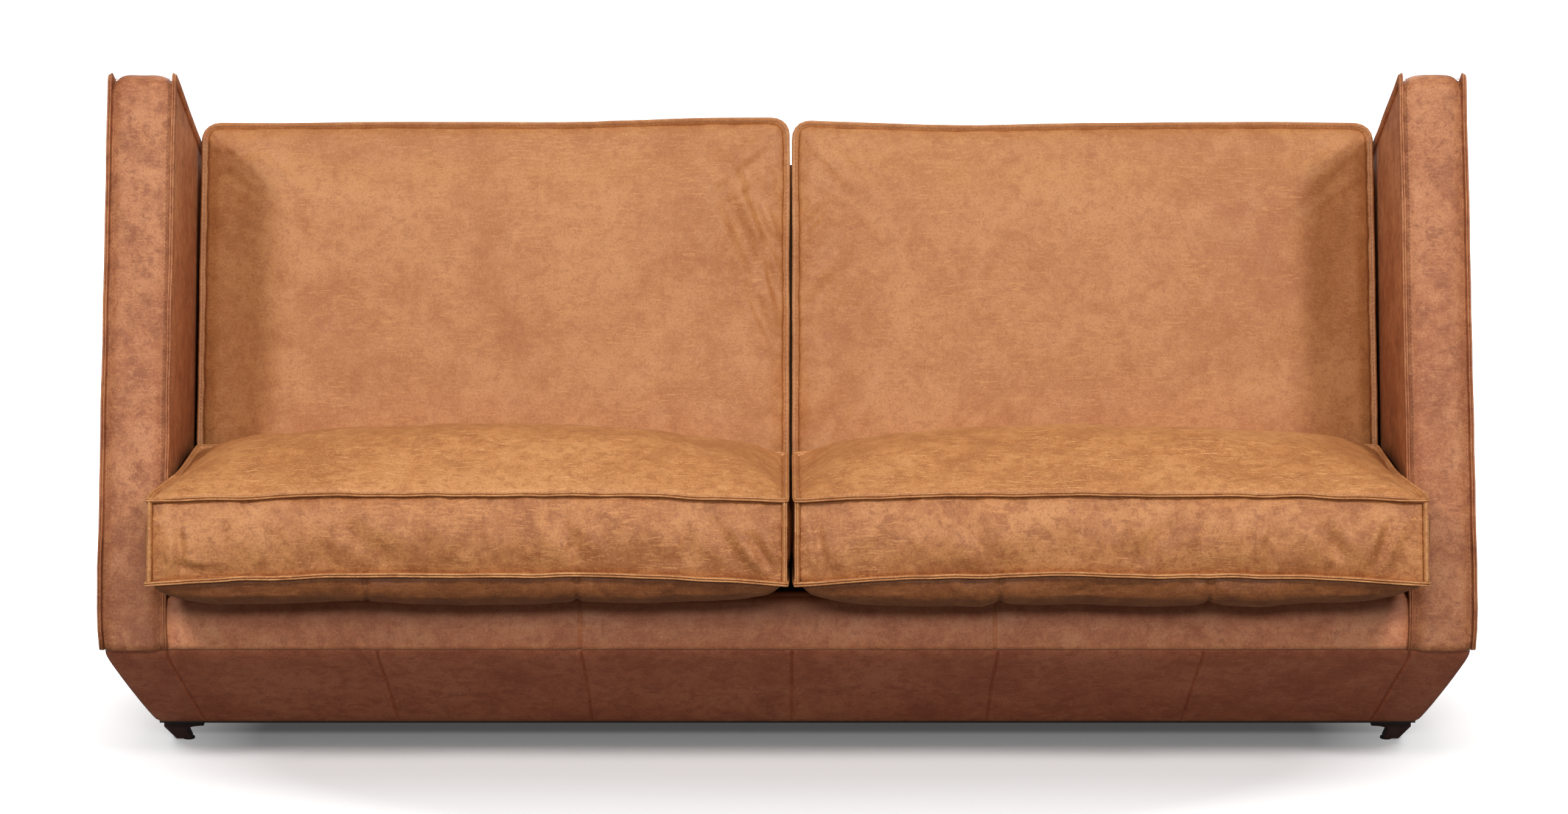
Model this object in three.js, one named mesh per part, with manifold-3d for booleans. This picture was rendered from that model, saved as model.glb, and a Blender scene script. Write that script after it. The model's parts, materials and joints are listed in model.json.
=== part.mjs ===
// A two-seat leather sofa on short wooden legs, built piece by piece in millimetres, +Z up, front towards -Y.
// The side view is drawn from the front seam (Y 0), where the raked front face meets the tucked-under base.
import * as THREE from "three";
import { mergeVertices } from "three/addons/utils/BufferGeometryUtils.js";
import Module from "manifold-3d";

const wasm = await Module();
wasm.setup();

// Driving sizes.
const WIDTH = 2020; // outside of one arm to the outside of the other
const LEG_HEIGHT = 42; // floor to the underside of the base
const BASE_HEIGHT = 163; // underside of the base up to the front seam
const ARM_RISE = 798; // front seam up to the peak of the arms
const ARM_THICKNESS = 98;
const SEAT_DEPTH = 398; // seat cushion, front top seam to rear top seam
const SEAT_BORDER = 118; // height of the boxing between the two seams
const SEAT_CROWN = 66; // how far the top face swells above its seam
const SEAT_BELLY = 40; // how far the underside swells below its seam
const BACK_HEIGHT = 662; // back cushion, measured along its lean
const BACK_CROWN = 24; // swell of the front face of a back cushion
const BACK_BELLY = 34; // swell of the rear face of a back cushion
const BACK_BORDER = 16; // thin edge between the two faces

// Slopes, as a run for each unit of rise or of length.
const FRONT_RAKE = 0.3983; // arm fronts and front rail lean back
const BACK_RAKE = 0.392; // back cushions lean back
const ARM_TOP_FALL = 0.596; // arm tops fall towards the rear
const SEAT_FALL = 0.061; // seat falls towards the rear
const SEAT_LEAN = 0.322; // front boxing of the seat leans back

// Where things stand, from the front seam.
const SEAT_OVERHANG = 93; // bottom front seam of a seat cushion ahead of the front seam
const REAR_BEHIND_SEAT = 405; // rear of the shell behind the seat cushion's top rear seam
const DECK_RISE = 79; // deck above the front seam, taken at Y 0
const TUCK = { front: 156, side: 54, rear: 45 }; // how far the base draws in on its way down

// Thicknesses.
const LEATHER = 5; // leather with its wadding on the base
const PANEL = 6; // side panels of the arms
const BAND = 8; // padded band round the edge of an arm
const LIP = 6; // the side panels stand this far proud of the band
const RAIL = 24; // frame timber
const HIDE = 2.5; // cushion cover
const STRAP = { width: 60, thick: 3, count: 5 };
const DECK_CLOTH = 2;
const DUST_CLOTH = 1.5;
const GLIDE = { radius: 9, height: 2.5 };

// Clearances.
const GAP = 0.4; // between pieces that are fixed together
const SIDE_GAP = 3; // cushion to arm
const CENTRE_GAP = 3; // cushion to cushion
const FOAM_GAP = 1; // foam to the inside of its cover
const BACK_GAP = 8; // seat cushion to back cushion

// Sizes that follow.
const HALF = WIDTH / 2;
const INNER = HALF - ARM_THICKNESS;
const SEAM_Z = LEG_HEIGHT + BASE_HEIGHT;
const PEAK = [ARM_RISE * FRONT_RAKE, SEAM_Z + ARM_RISE];
const SEAT_FRONT_LOW = -SEAT_OVERHANG;
const SEAT_FRONT_TOP = SEAT_FRONT_LOW + SEAT_BORDER * SEAT_LEAN;
const SEAT_REAR_TOP = SEAT_FRONT_TOP + SEAT_DEPTH;
const REAR = SEAT_REAR_TOP + REAR_BEHIND_SEAT;
const REAR_FOOT = REAR - 25;

const group = new THREE.Group();
group.name = "sofa";

// ---------------------------------------------------------------- helpers

const frontY = (z) => (z - SEAM_Z) * FRONT_RAKE;
const deckZ = (y) => SEAM_Z + DECK_RISE - SEAT_FALL * y;
const armTopZ = (y) => PEAK[1] - ARM_TOP_FALL * (y - PEAK[0]);

function add(name, geometry, look) {
  const clean = mergeVertices(geometry, 1e-4);
  clean.computeVertexNormals();
  const mesh = new THREE.Mesh(clean, new THREE.MeshStandardMaterial(look));
  mesh.name = name;
  group.add(mesh);
}

function toSolid(geometry) {
  const bare = new THREE.BufferGeometry();
  bare.setAttribute("position", geometry.getAttribute("position").clone());
  if (geometry.index) {
    bare.setIndex(geometry.index.clone());
  }
  const merged = mergeVertices(bare, 1e-4);
  const vertProperties = new Float32Array(merged.getAttribute("position").array);
  const triVerts = new Uint32Array(merged.index.array);
  return new wasm.Manifold(new wasm.Mesh({ numProp: 3, vertProperties, triVerts }));
}

function toGeometry(solid) {
  const mesh = solid.getMesh();
  const geometry = new THREE.BufferGeometry();
  geometry.setAttribute("position", new THREE.BufferAttribute(new Float32Array(mesh.vertProperties), 3));
  geometry.setIndex(new THREE.BufferAttribute(new Uint32Array(mesh.triVerts), 1));
  return geometry;
}

// Cut each tool out of a piece.
function cut(geometry, tools) {
  let solid = toSolid(geometry);
  for (const tool of tools) {
    solid = solid.subtract(toSolid(tool));
  }
  return toGeometry(solid);
}

// Where the line through a and b meets the line through c and d.
function meet(a, b, c, d) {
  const ab = [b[0] - a[0], b[1] - a[1]];
  const cd = [d[0] - c[0], d[1] - c[1]];
  const t = ((c[0] - a[0]) * cd[1] - (c[1] - a[1]) * cd[0]) / (ab[0] * cd[1] - ab[1] * cd[0]);
  return [a[0] + ab[0] * t, a[1] + ab[1] * t];
}

// Move every edge of a convex outline inwards by its own amount (outlines run clockwise, as seen from +X).
function inset(points, amounts) {
  const edges = points.map((a, i) => {
    const b = points[(i + 1) % points.length];
    const length = Math.hypot(b[0] - a[0], b[1] - a[1]);
    const normal = [(b[1] - a[1]) / length, -(b[0] - a[0]) / length];
    const shift = amounts[i];
    return [
      [a[0] + normal[0] * shift, a[1] + normal[1] * shift],
      [b[0] + normal[0] * shift, b[1] + normal[1] * shift],
    ];
  });
  return points.map((_, i) => {
    const before = edges[(i + points.length - 1) % points.length];
    return meet(before[0], before[1], edges[i][0], edges[i][1]);
  });
}

// Round the corners of an outline; a radius of 0 keeps the corner sharp.
function rounded(points, radii, steps = 6) {
  const out = [];
  points.forEach((p, i) => {
    const radius = radii[i];
    if (radius <= 0) {
      out.push(p);
      return;
    }
    const prev = points[(i + points.length - 1) % points.length];
    const next = points[(i + 1) % points.length];
    const v0 = new THREE.Vector2(prev[0] - p[0], prev[1] - p[1]).normalize();
    const v1 = new THREE.Vector2(next[0] - p[0], next[1] - p[1]).normalize();
    const half = Math.acos(THREE.MathUtils.clamp(v0.dot(v1), -1, 1)) / 2;
    const run = radius / Math.tan(half);
    const middle = v0.clone().add(v1).normalize().multiplyScalar(radius / Math.sin(half));
    const from = v0.clone().multiplyScalar(run).sub(middle);
    const to = v1.clone().multiplyScalar(run).sub(middle);
    const sweep = Math.atan2(from.x * to.y - from.y * to.x, from.dot(to));
    for (let s = 0; s <= steps; s++) {
      const turned = from.clone().rotateAround(new THREE.Vector2(), (sweep * s) / steps);
      out.push([p[0] + middle.x + turned.x, p[1] + middle.y + turned.y]);
    }
  });
  return out;
}

// A side-view outline, given as (Y, Z) points, drawn out along X.
function prism(points, xA, xB) {
  const shape = new THREE.Shape(points.map(([y, z]) => new THREE.Vector2(y, z)));
  const depth = Math.abs(xB - xA);
  const geometry = new THREE.ExtrudeGeometry(shape, { depth, bevelEnabled: false, steps: 1 });
  geometry.deleteAttribute("uv");
  geometry.deleteAttribute("normal");
  const basis = new THREE.Matrix4().makeBasis(
    new THREE.Vector3(0, 1, 0),
    new THREE.Vector3(0, 0, 1),
    new THREE.Vector3(1, 0, 0)
  );
  geometry.applyMatrix4(basis);
  geometry.translate(Math.min(xA, xB), 0, 0);
  return geometry;
}

// A solid through level outlines, each a convex ring running anticlockwise as seen from above, lowest first.
function loft(rings) {
  const count = rings[0].length;
  const positions = rings.flat(2);
  const index = [];
  for (let i = 1; i < count - 1; i++) {
    index.push(0, i + 1, i);
    const top = (rings.length - 1) * count;
    index.push(top, top + i, top + i + 1);
  }
  for (let r = 0; r < rings.length - 1; r++) {
    for (let i = 0; i < count; i++) {
      const a = r * count + i;
      const b = r * count + ((i + 1) % count);
      index.push(a, b, b + count, a, b + count, a + count);
    }
  }
  const geometry = new THREE.BufferGeometry();
  geometry.setAttribute("position", new THREE.Float32BufferAttribute(positions, 3));
  geometry.setIndex(index);
  return geometry;
}

function box(x0, x1, y0, y1, z0, z1) {
  const geometry = new THREE.BoxGeometry(x1 - x0, y1 - y0, z1 - z0);
  geometry.translate((x0 + x1) / 2, (y0 + y1) / 2, (z0 + z1) / 2);
  geometry.deleteAttribute("uv");
  geometry.deleteAttribute("normal");
  return geometry;
}

// A stuffed cushion: rounded plan, straight border, a swelling face above and below.
function pillow({ halfX, halfY, border, crown, belly, corner, bulge = 0, power = 2.6 }) {
  const plan = rounded(
    [
      [-halfX, -halfY],
      [0, -halfY],
      [halfX, -halfY],
      [halfX, 0],
      [halfX, halfY],
      [0, halfY],
      [-halfX, halfY],
      [-halfX, 0],
    ],
    [corner, 0, corner, 0, corner, 0, corner, 0],
    4
  );
  const scales = [1, 0.965, 0.9, 0.78, 0.58, 0.3];
  const swell = (s) => 1 - Math.pow(s, power);
  const rings = [];
  for (const s of [...scales].reverse()) {
    rings.push(plan.map(([x, y]) => [x * s, y * s, -border / 2 - belly * swell(s)]));
  }
  rings.push(plan.map(([x, y]) => [x, y < -halfY * 0.9 ? y - bulge : y, 0]));
  for (const s of scales) {
    rings.push(plan.map(([x, y]) => [x * s, y * s, border / 2 + crown * swell(s)]));
  }
  return loft(rings);
}

// ---------------------------------------------------------------- looks

const HIDE_TAN = { color: 0xb9825a, roughness: 0.5, metalness: 0 };
const HIDE_DARK = { color: 0x8a5636, roughness: 0.55, metalness: 0 };
const LEG_WOOD = { color: 0x2f1e16, roughness: 0.45, metalness: 0 };
const FRAME_WOOD = { color: 0xc9a878, roughness: 0.75, metalness: 0 };
const WEBBING = { color: 0x3b3a38, roughness: 0.9, metalness: 0 };
const BLACK_CLOTH = { color: 0x1f1e1d, roughness: 0.95, metalness: 0 };
const TAN_CLOTH = { color: 0x9b7a5a, roughness: 0.95, metalness: 0 };
const FOAM = { color: 0xe8dfc4, roughness: 0.95, metalness: 0 };
const NYLON = { color: 0x26241f, roughness: 0.5, metalness: 0 };

// ---------------------------------------------------------------- base

// The plan of the base at a height: it draws in towards the floor.
function tub(z, by) {
  const t = (SEAM_Z - z) / BASE_HEIGHT;
  return {
    x: HALF - TUCK.side * t - by,
    y0: TUCK.front * t + by,
    y1: REAR_FOOT - TUCK.rear * t - by,
  };
}

// One side of the base, mitred at its ends.
function tubSide(side, outer, inner, z0, z1) {
  const ring = (z) => {
    const o = tub(z, outer);
    const i = tub(z, inner);
    if (side === "front") {
      return [
        [-o.x + GAP, o.y0, z],
        [o.x - GAP, o.y0, z],
        [i.x - GAP, i.y0, z],
        [-i.x + GAP, i.y0, z],
      ];
    }
    if (side === "rear") {
      return [
        [-i.x + GAP, i.y1, z],
        [i.x - GAP, i.y1, z],
        [o.x - GAP, o.y1, z],
        [-o.x + GAP, o.y1, z],
      ];
    }
    const sign = side === "left" ? -1 : 1;
    const ring4 = [
      [sign * i.x, i.y0 + GAP, z],
      [sign * o.x, o.y0 + GAP, z],
      [sign * o.x, o.y1 - GAP, z],
      [sign * i.x, i.y1 - GAP, z],
    ];
    return sign > 0 ? ring4 : ring4.reverse();
  };
  return loft([ring(z0), ring(z1)]);
}

const RAIL_OUT = LEATHER + GAP;
const RAIL_IN = RAIL_OUT + RAIL;
for (const side of ["front", "rear", "left", "right"]) {
  add(`base_cover_${side}`, tubSide(side, 0, LEATHER, LEG_HEIGHT, SEAM_Z - GAP), HIDE_DARK);
  add(`base_rail_${side}`, tubSide(side, RAIL_OUT, RAIL_IN, LEG_HEIGHT, SEAM_Z - GAP), FRAME_WOOD);
}

// Two stretchers tie the front base rail to the rear one.
const STRETCHER_X = INNER / 3;
for (const sign of [-1, 1]) {
  const ring = (z) => {
    const t = tub(z, RAIL_IN + GAP);
    const x = sign * STRETCHER_X;
    return [
      [x - RAIL / 2, t.y0, z],
      [x + RAIL / 2, t.y0, z],
      [x + RAIL / 2, t.y1, z],
      [x - RAIL / 2, t.y1, z],
    ];
  };
  const name = sign < 0 ? "base_stretcher_left" : "base_stretcher_right";
  add(name, loft([ring(SEAM_Z - 80), ring(SEAM_Z - GAP)]), FRAME_WOOD);
}

// Corner blocks carry the legs.
const BLOCK = { x: 90, y: 90, z: 45 };
const foot = tub(LEG_HEIGHT, RAIL_IN + GAP);
for (const [sign, sideName] of [[-1, "left"], [1, "right"]]) {
  for (const end of ["front", "rear"]) {
    const y0 = end === "front" ? foot.y0 : foot.y1 - BLOCK.y;
    const xIn = Math.min(sign * foot.x, sign * (foot.x - BLOCK.x));
    const block = box(xIn, xIn + BLOCK.x, y0, y0 + BLOCK.y, LEG_HEIGHT, LEG_HEIGHT + BLOCK.z);
    add(`corner_block_${end}_${sideName}`, block, FRAME_WOOD);
  }
}

// ---------------------------------------------------------------- legs

const LEG = { outerTop: 63, outerFoot: 84, innerFoot: 108, innerTop: 99, shoulder: 12, deepTop: 34, deepFoot: 24 };
const LEG_TOP = LEG_HEIGHT - GAP;
const legMiddleFront = TUCK.front + 54;
const legMiddleRear = REAR_FOOT - TUCK.rear - 54;

function legRing(sign, middle, z) {
  const t = (LEG_TOP - z) / (LEG_TOP - GLIDE.height - GAP);
  const flare = LEG.shoulder * Math.pow(1 - t, 5);
  const outer = HALF - THREE.MathUtils.lerp(LEG.outerTop, LEG.outerFoot, t);
  const inner = HALF - THREE.MathUtils.lerp(LEG.innerTop, LEG.innerFoot, t) - flare;
  const half = THREE.MathUtils.lerp(LEG.deepTop, LEG.deepFoot, t) / 2;
  const x0 = Math.min(sign * outer, sign * inner);
  const x1 = Math.max(sign * outer, sign * inner);
  const plan = [
    [x0, middle - half],
    [x1, middle - half],
    [x1, middle + half],
    [x0, middle + half],
  ];
  return rounded(plan, [4, 4, 4, 4], 3).map(([x, y]) => [x, y, z]);
}

const legCuts = [];
for (const [sign, sideName] of [[-1, "left"], [1, "right"]]) {
  for (const [end, middle] of [["front", legMiddleFront], ["rear", legMiddleRear]]) {
    const bottom = GLIDE.height + GAP;
    const rings = [];
    for (const t of [0, 0.35, 0.6, 0.75, 0.86, 0.94, 1]) {
      rings.push(legRing(sign, middle, bottom + (LEG_TOP - bottom) * t));
    }
    add(`leg_${end}_${sideName}`, loft(rings), LEG_WOOD);
    const footX = sign * (HALF - (LEG.outerFoot + LEG.innerFoot) / 2);
    const disc = new THREE.CylinderGeometry(GLIDE.radius, GLIDE.radius, GLIDE.height, 20);
    disc.rotateX(Math.PI / 2);
    disc.translate(footX, middle, GLIDE.height / 2);
    disc.deleteAttribute("uv");
    disc.deleteAttribute("normal");
    add(`glide_${end}_${sideName}`, disc, NYLON);
    const reach = 26;
    const midX = sign * (HALF - (LEG.outerTop + LEG.innerTop + LEG.shoulder) / 2);
    legCuts.push(box(midX - reach - 3, midX + reach + 3, middle - reach, middle + reach, 0, LEG_HEIGHT + 5));
  }
}

// Dust cloth under the base, cut round the legs.
const cloth = tub(LEG_HEIGHT, LEATHER);
const clothZ = LEG_HEIGHT - GAP;
const dust = box(-cloth.x, cloth.x, cloth.y0, cloth.y1, clothZ - DUST_CLOTH, clothZ);
add("dust_cloth", cut(dust, legCuts), BLACK_CLOTH);

// ---------------------------------------------------------------- arms

const ARM_LOW = SEAM_Z + GAP;
const tail = [REAR, armTopZ(REAR)];
const armOutline = [[frontY(ARM_LOW), ARM_LOW], PEAK, tail, [REAR_FOOT, ARM_LOW]];
const armBand = rounded(armOutline, [0, 26, 26, 0]);
const armHollow = rounded(inset(armOutline, [BAND, BAND, BAND, -5]), [0, 18, 18, 0]);
const armPanel = rounded(inset(armOutline, [-LIP, -LIP, -LIP, 0]), [0, 10, 22, 0]);
const coreFit = rounded(inset(armOutline, [BAND + GAP, BAND + GAP, BAND + GAP, 0]), [0, 18, 18, 0]);
for (const [sign, sideName] of [[-1, "left"], [1, "right"]]) {
  const outside = sign * HALF;
  const inside = sign * INNER;
  const bandOut = sign * (HALF - PANEL - GAP);
  const bandIn = sign * (INNER + PANEL + GAP);
  add(`arm_panel_outer_${sideName}`, prism(armPanel, outside, sign * (HALF - PANEL)), HIDE_TAN);
  add(`arm_panel_inner_${sideName}`, prism(armPanel, inside, sign * (INNER + PANEL)), HIDE_TAN);
  add(`arm_frame_${sideName}`, prism(coreFit, bandOut, bandIn), FRAME_WOOD);
  const hollow = prism(armHollow, sign * (HALF + 5), sign * (INNER - 5));
  const band = cut(prism(armBand, bandOut, bandIn), [hollow]);
  add(`arm_band_${sideName}`, band, HIDE_TAN);
}

// ---------------------------------------------------------------- seat frame

const SPAN = INNER - GAP;
const RAIL_TOP_DROP = DECK_CLOTH + STRAP.thick + 3 * GAP;
const stripTopZ = deckZ(frontY(SEAM_Z + DECK_RISE));
const stripTopY = frontY(stripTopZ);
const WRAP = 22;

// Leather on the front rail: three lengths, each turned over the top edge.
const strip = [
  [frontY(ARM_LOW), ARM_LOW],
  [stripTopY, stripTopZ],
  [stripTopY + WRAP, deckZ(stripTopY + WRAP)],
  [stripTopY + WRAP, deckZ(stripTopY + WRAP) - 4],
  [stripTopY + 4, stripTopZ - 4],
  [frontY(ARM_LOW) + 5, ARM_LOW],
];
const third = SPAN / 3;
const stripNames = ["left", "middle", "right"];
stripNames.forEach((name, i) => {
  const from = -SPAN + 2 * third * i + GAP / 2;
  add(`front_strip_${name}`, prism(strip, from, from + 2 * third - GAP), HIDE_TAN);
});

const railTop = (y) => deckZ(y) - RAIL_TOP_DROP;
const railFront = (z) => frontY(z) + 6.5;
const frontRail = [
  [railFront(ARM_LOW), ARM_LOW],
  [railFront(stripTopZ - RAIL_TOP_DROP), railTop(railFront(stripTopZ - RAIL_TOP_DROP))],
  [stripTopY + WRAP + RAIL, railTop(stripTopY + WRAP + RAIL)],
  [stripTopY + WRAP + RAIL, ARM_LOW],
];
add("front_rail", prism(frontRail, -SPAN, SPAN), FRAME_WOOD);

// ---------------------------------------------------------------- back frame

// The face of the back cushions meets the seat just behind the seat cushion's top rear seam.
const seatRearTopZ = deckZ(SEAT_REAR_TOP) + SEAT_BELLY + SEAT_BORDER;
const faceY = (z) => SEAT_REAR_TOP + BACK_GAP + (z - seatRearTopZ) * BACK_RAKE;
const cosLean = 1 / Math.hypot(1, BACK_RAKE);
const BACK_SET = BACK_CROWN * 0.8 + BACK_BORDER / 2; // middle of the back cushion behind that face
const BACK_SUPPORT = BACK_SET + BACK_BORDER / 2 + BACK_BELLY + 4;
const supportY = (z, behind = 0) => faceY(z) + (BACK_SUPPORT + behind) / cosLean;

// The straight line that stands a distance behind the support line.
const leanLine = (behind) => [
  [supportY(0, behind), 0],
  [supportY(1000, behind), 1000],
];
const BACK_TOP_DROP = 26; // top of the back frame below the arm tops
const topLine = (drop) => [
  [PEAK[0], armTopZ(PEAK[0]) - drop],
  [REAR, armTopZ(REAR) - drop],
];
const backPoint = (behind, drop) => meet(...leanLine(behind), ...topLine(drop));

const INNER_CLOTH = 3;
const lowCloth = deckZ(supportY(SEAM_Z + DECK_RISE)) + 2;
const clothTop = backPoint(0, BACK_TOP_DROP);
const backCloth = [
  [supportY(lowCloth), lowCloth],
  clothTop,
  backPoint(INNER_CLOTH, BACK_TOP_DROP),
  [supportY(lowCloth, INNER_CLOTH), lowCloth],
];
add("back_cloth", prism(backCloth, -SPAN, SPAN), TAN_CLOTH);

// Outer back: one sheet over the top of the frame and down the rear.
const HULL = 3;
const POST_FRONT = INNER_CLOTH + GAP;
const rearLine = (by) => [
  [REAR - by, tail[1]],
  [REAR_FOOT - by, ARM_LOW],
];
const rearTop = meet(...topLine(BACK_TOP_DROP), ...rearLine(0));
const rearTopIn = meet(...topLine(BACK_TOP_DROP + HULL), ...rearLine(HULL));
const outerBack = [
  backPoint(POST_FRONT, BACK_TOP_DROP),
  rearTop,
  [REAR_FOOT, ARM_LOW],
  [REAR_FOOT - HULL, ARM_LOW],
  rearTopIn,
  backPoint(POST_FRONT, BACK_TOP_DROP + HULL),
];
add("back_cover_outer", prism(outerBack, -SPAN, SPAN), HIDE_TAN);

// Top rail under the outer cover, and three posts below it.
const railDrop = BACK_TOP_DROP + HULL + GAP;
const POST_DEPTH = 42;
const topRail = [
  backPoint(POST_FRONT, railDrop),
  backPoint(POST_FRONT + POST_DEPTH, railDrop),
  backPoint(POST_FRONT + POST_DEPTH, railDrop + 62),
  backPoint(POST_FRONT, railDrop + 62),
];
add("back_top_rail", prism(topRail, -SPAN, SPAN), FRAME_WOOD);
const post = [
  [supportY(ARM_LOW, POST_FRONT), ARM_LOW],
  backPoint(POST_FRONT, railDrop + 62 + GAP * 2),
  backPoint(POST_FRONT + POST_DEPTH, railDrop + 62 + GAP * 2),
  [supportY(ARM_LOW, POST_FRONT + POST_DEPTH), ARM_LOW],
];
const posts = [["left", -STRETCHER_X * 2], ["middle", 0], ["right", STRETCHER_X * 2]];
for (const [name, x] of posts) {
  add(`back_post_${name}`, prism(post, x - 30, x + 30), FRAME_WOOD);
}

// Rear seat rail, in front of the posts, and the side rails along the arms.
const rearRailFront = supportY(ARM_LOW) - RAIL - 8;
const rearRail = [
  [rearRailFront, ARM_LOW],
  [rearRailFront, railTop(rearRailFront)],
  meet(...leanLine(INNER_CLOTH), [0, railTop(0)], [100, railTop(100)]),
  [supportY(ARM_LOW, INNER_CLOTH), ARM_LOW],
];
add("rear_rail", prism(rearRail, -SPAN, SPAN), FRAME_WOOD);
const sideFrom = stripTopY + WRAP + RAIL + GAP;
const sideTo = rearRailFront - GAP;
const sideRail = [
  [sideFrom, ARM_LOW],
  [sideFrom, railTop(sideFrom)],
  [sideTo, railTop(sideTo)],
  [sideTo, ARM_LOW],
];
for (const [sign, sideName] of [[-1, "left"], [1, "right"]]) {
  add(`side_rail_${sideName}`, prism(sideRail, sign * SPAN, sign * (SPAN - RAIL)), FRAME_WOOD);
}

// Webbing straps and the deck cloth over them.
const strapFrom = stripTopY + WRAP + GAP;
const strapTo = supportY(deckZ(rearRailFront + 50)) - 3;
const sheet = (y0, y1, top, thick) => [
  [y0, deckZ(y0) - top - thick],
  [y0, deckZ(y0) - top],
  [y1, deckZ(y1) - top],
  [y1, deckZ(y1) - top - thick],
];
add("deck_cloth", prism(sheet(strapFrom, strapTo, GAP, DECK_CLOTH), -SPAN, SPAN), BLACK_CLOTH);
const pitch = (2 * SPAN - 2 * RAIL) / STRAP.count;
for (let i = 0; i < STRAP.count; i++) {
  const x = -SPAN + RAIL + pitch * (i + 0.5);
  const line = sheet(strapFrom, strapTo, DECK_CLOTH + 2 * GAP, STRAP.thick);
  add(`webbing_strap_${i + 1}`, prism(line, x - STRAP.width / 2, x + STRAP.width / 2), WEBBING);
}

// ---------------------------------------------------------------- cushions

const CUSHION_HALF = (INNER - SIDE_GAP - CENTRE_GAP / 2) / 2;
const CUSHION_X = CENTRE_GAP / 2 + CUSHION_HALF;

// The cover is hollow, with a zip slit in its rear border; the foam stands inside it.
function cushion(shape) {
  const cavity = {
    ...shape,
    halfX: shape.halfX - HIDE,
    halfY: shape.halfY - HIDE,
    border: shape.border - 2,
    crown: shape.crown - HIDE + 1,
    belly: shape.belly - HIDE + 1,
    bulge: shape.bulge,
  };
  const foam = {
    ...cavity,
    halfX: cavity.halfX - FOAM_GAP,
    halfY: cavity.halfY - FOAM_GAP,
    border: cavity.border - 2,
    crown: cavity.crown - FOAM_GAP + 0.5,
    belly: cavity.belly - FOAM_GAP + 0.5,
  };
  const slit = box(-200, 200, shape.halfY - HIDE - 2, shape.halfY + 5, -2, 2);
  return { cover: cut(pillow(shape), [pillow(cavity), slit]), core: pillow(foam) };
}

// The seat's lean carries its lowest point forwards, so it is lifted by the deck's fall over that run.
const seatBelow = SEAT_BELLY + SEAT_BORDER / 2;
const seatMiddleZ = deckZ(0) + seatBelow * (1 + SEAT_FALL * SEAT_LEAN) + GAP;
const seatMiddleY = SEAT_FRONT_LOW + (SEAT_BORDER * SEAT_LEAN) / 2 + SEAT_DEPTH / 2;
for (const [sign, sideName] of [[-1, "left"], [1, "right"]]) {
  const seat = cushion({
    halfX: CUSHION_HALF,
    halfY: SEAT_DEPTH / 2,
    border: SEAT_BORDER,
    crown: SEAT_CROWN,
    belly: SEAT_BELLY,
    corner: 22,
    bulge: 10,
  });
  const place = new THREE.Matrix4().set(
    1, 0, 0, sign * CUSHION_X,
    0, 1, SEAT_LEAN, seatMiddleY,
    0, -SEAT_FALL, 1, seatMiddleZ - SEAT_FALL * seatMiddleY,
    0, 0, 0, 1
  );
  seat.cover.applyMatrix4(place);
  seat.core.applyMatrix4(place);
  add(`seat_cover_${sideName}`, seat.cover, HIDE_TAN);
  add(`seat_foam_${sideName}`, seat.core, FOAM);
}

const backFoot = deckZ(supportY(SEAM_Z + DECK_RISE)) + 6;
const alongY = BACK_RAKE * cosLean;
for (const [sign, sideName] of [[-1, "left"], [1, "right"]]) {
  const back = cushion({
    halfX: CUSHION_HALF,
    halfY: BACK_HEIGHT / 2,
    border: BACK_BORDER,
    crown: BACK_CROWN,
    belly: BACK_BELLY,
    corner: 22,
    power: 3.2,
  });
  const middleZ = backFoot + (BACK_HEIGHT / 2) * cosLean + alongY * BACK_SET;
  const middleY = faceY(middleZ) + BACK_SET / cosLean;
  // The open edge of the cover's zip slit faces down, so the cushion is turned over end for end.
  const place = new THREE.Matrix4().set(
    -1, 0, 0, sign * CUSHION_X,
    0, -alongY, -cosLean, middleY,
    0, -cosLean, alongY, middleZ,
    0, 0, 0, 1
  );
  back.cover.applyMatrix4(place);
  back.core.applyMatrix4(place);
  add(`back_cushion_cover_${sideName}`, back.cover, HIDE_TAN);
  add(`back_cushion_foam_${sideName}`, back.core, FOAM);
}

// ---------------------------------------------------------------- origin

// Stand the sofa with the middle of its box over the origin and its glides on Z 0.
const bounds = new THREE.Box3().setFromObject(group);
for (const mesh of group.children) {
  mesh.geometry.translate(-(bounds.min.x + bounds.max.x) / 2, -(bounds.min.y + bounds.max.y) / 2, -bounds.min.z);
}

export default group;
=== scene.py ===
import json
import math

import bmesh
import bpy
import numpy as np
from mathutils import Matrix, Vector, noise
from mathutils.kdtree import KDTree


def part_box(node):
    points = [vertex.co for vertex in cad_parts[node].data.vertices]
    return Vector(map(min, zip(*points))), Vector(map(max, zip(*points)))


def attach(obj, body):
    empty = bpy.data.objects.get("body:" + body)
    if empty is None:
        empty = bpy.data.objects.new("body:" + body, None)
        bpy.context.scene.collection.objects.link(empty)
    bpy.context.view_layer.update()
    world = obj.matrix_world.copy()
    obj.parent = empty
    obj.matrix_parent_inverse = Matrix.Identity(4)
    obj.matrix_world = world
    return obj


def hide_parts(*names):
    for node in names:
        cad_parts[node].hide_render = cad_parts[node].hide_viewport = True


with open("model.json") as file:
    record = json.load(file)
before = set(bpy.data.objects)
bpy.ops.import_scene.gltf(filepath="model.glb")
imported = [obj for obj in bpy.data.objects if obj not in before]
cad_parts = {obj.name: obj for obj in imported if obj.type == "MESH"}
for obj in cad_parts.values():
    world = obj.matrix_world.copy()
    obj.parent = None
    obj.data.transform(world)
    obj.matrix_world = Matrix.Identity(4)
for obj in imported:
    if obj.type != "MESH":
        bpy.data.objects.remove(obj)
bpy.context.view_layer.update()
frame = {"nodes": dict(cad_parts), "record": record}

# ------------------------------------------------------------------ sizes

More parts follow.
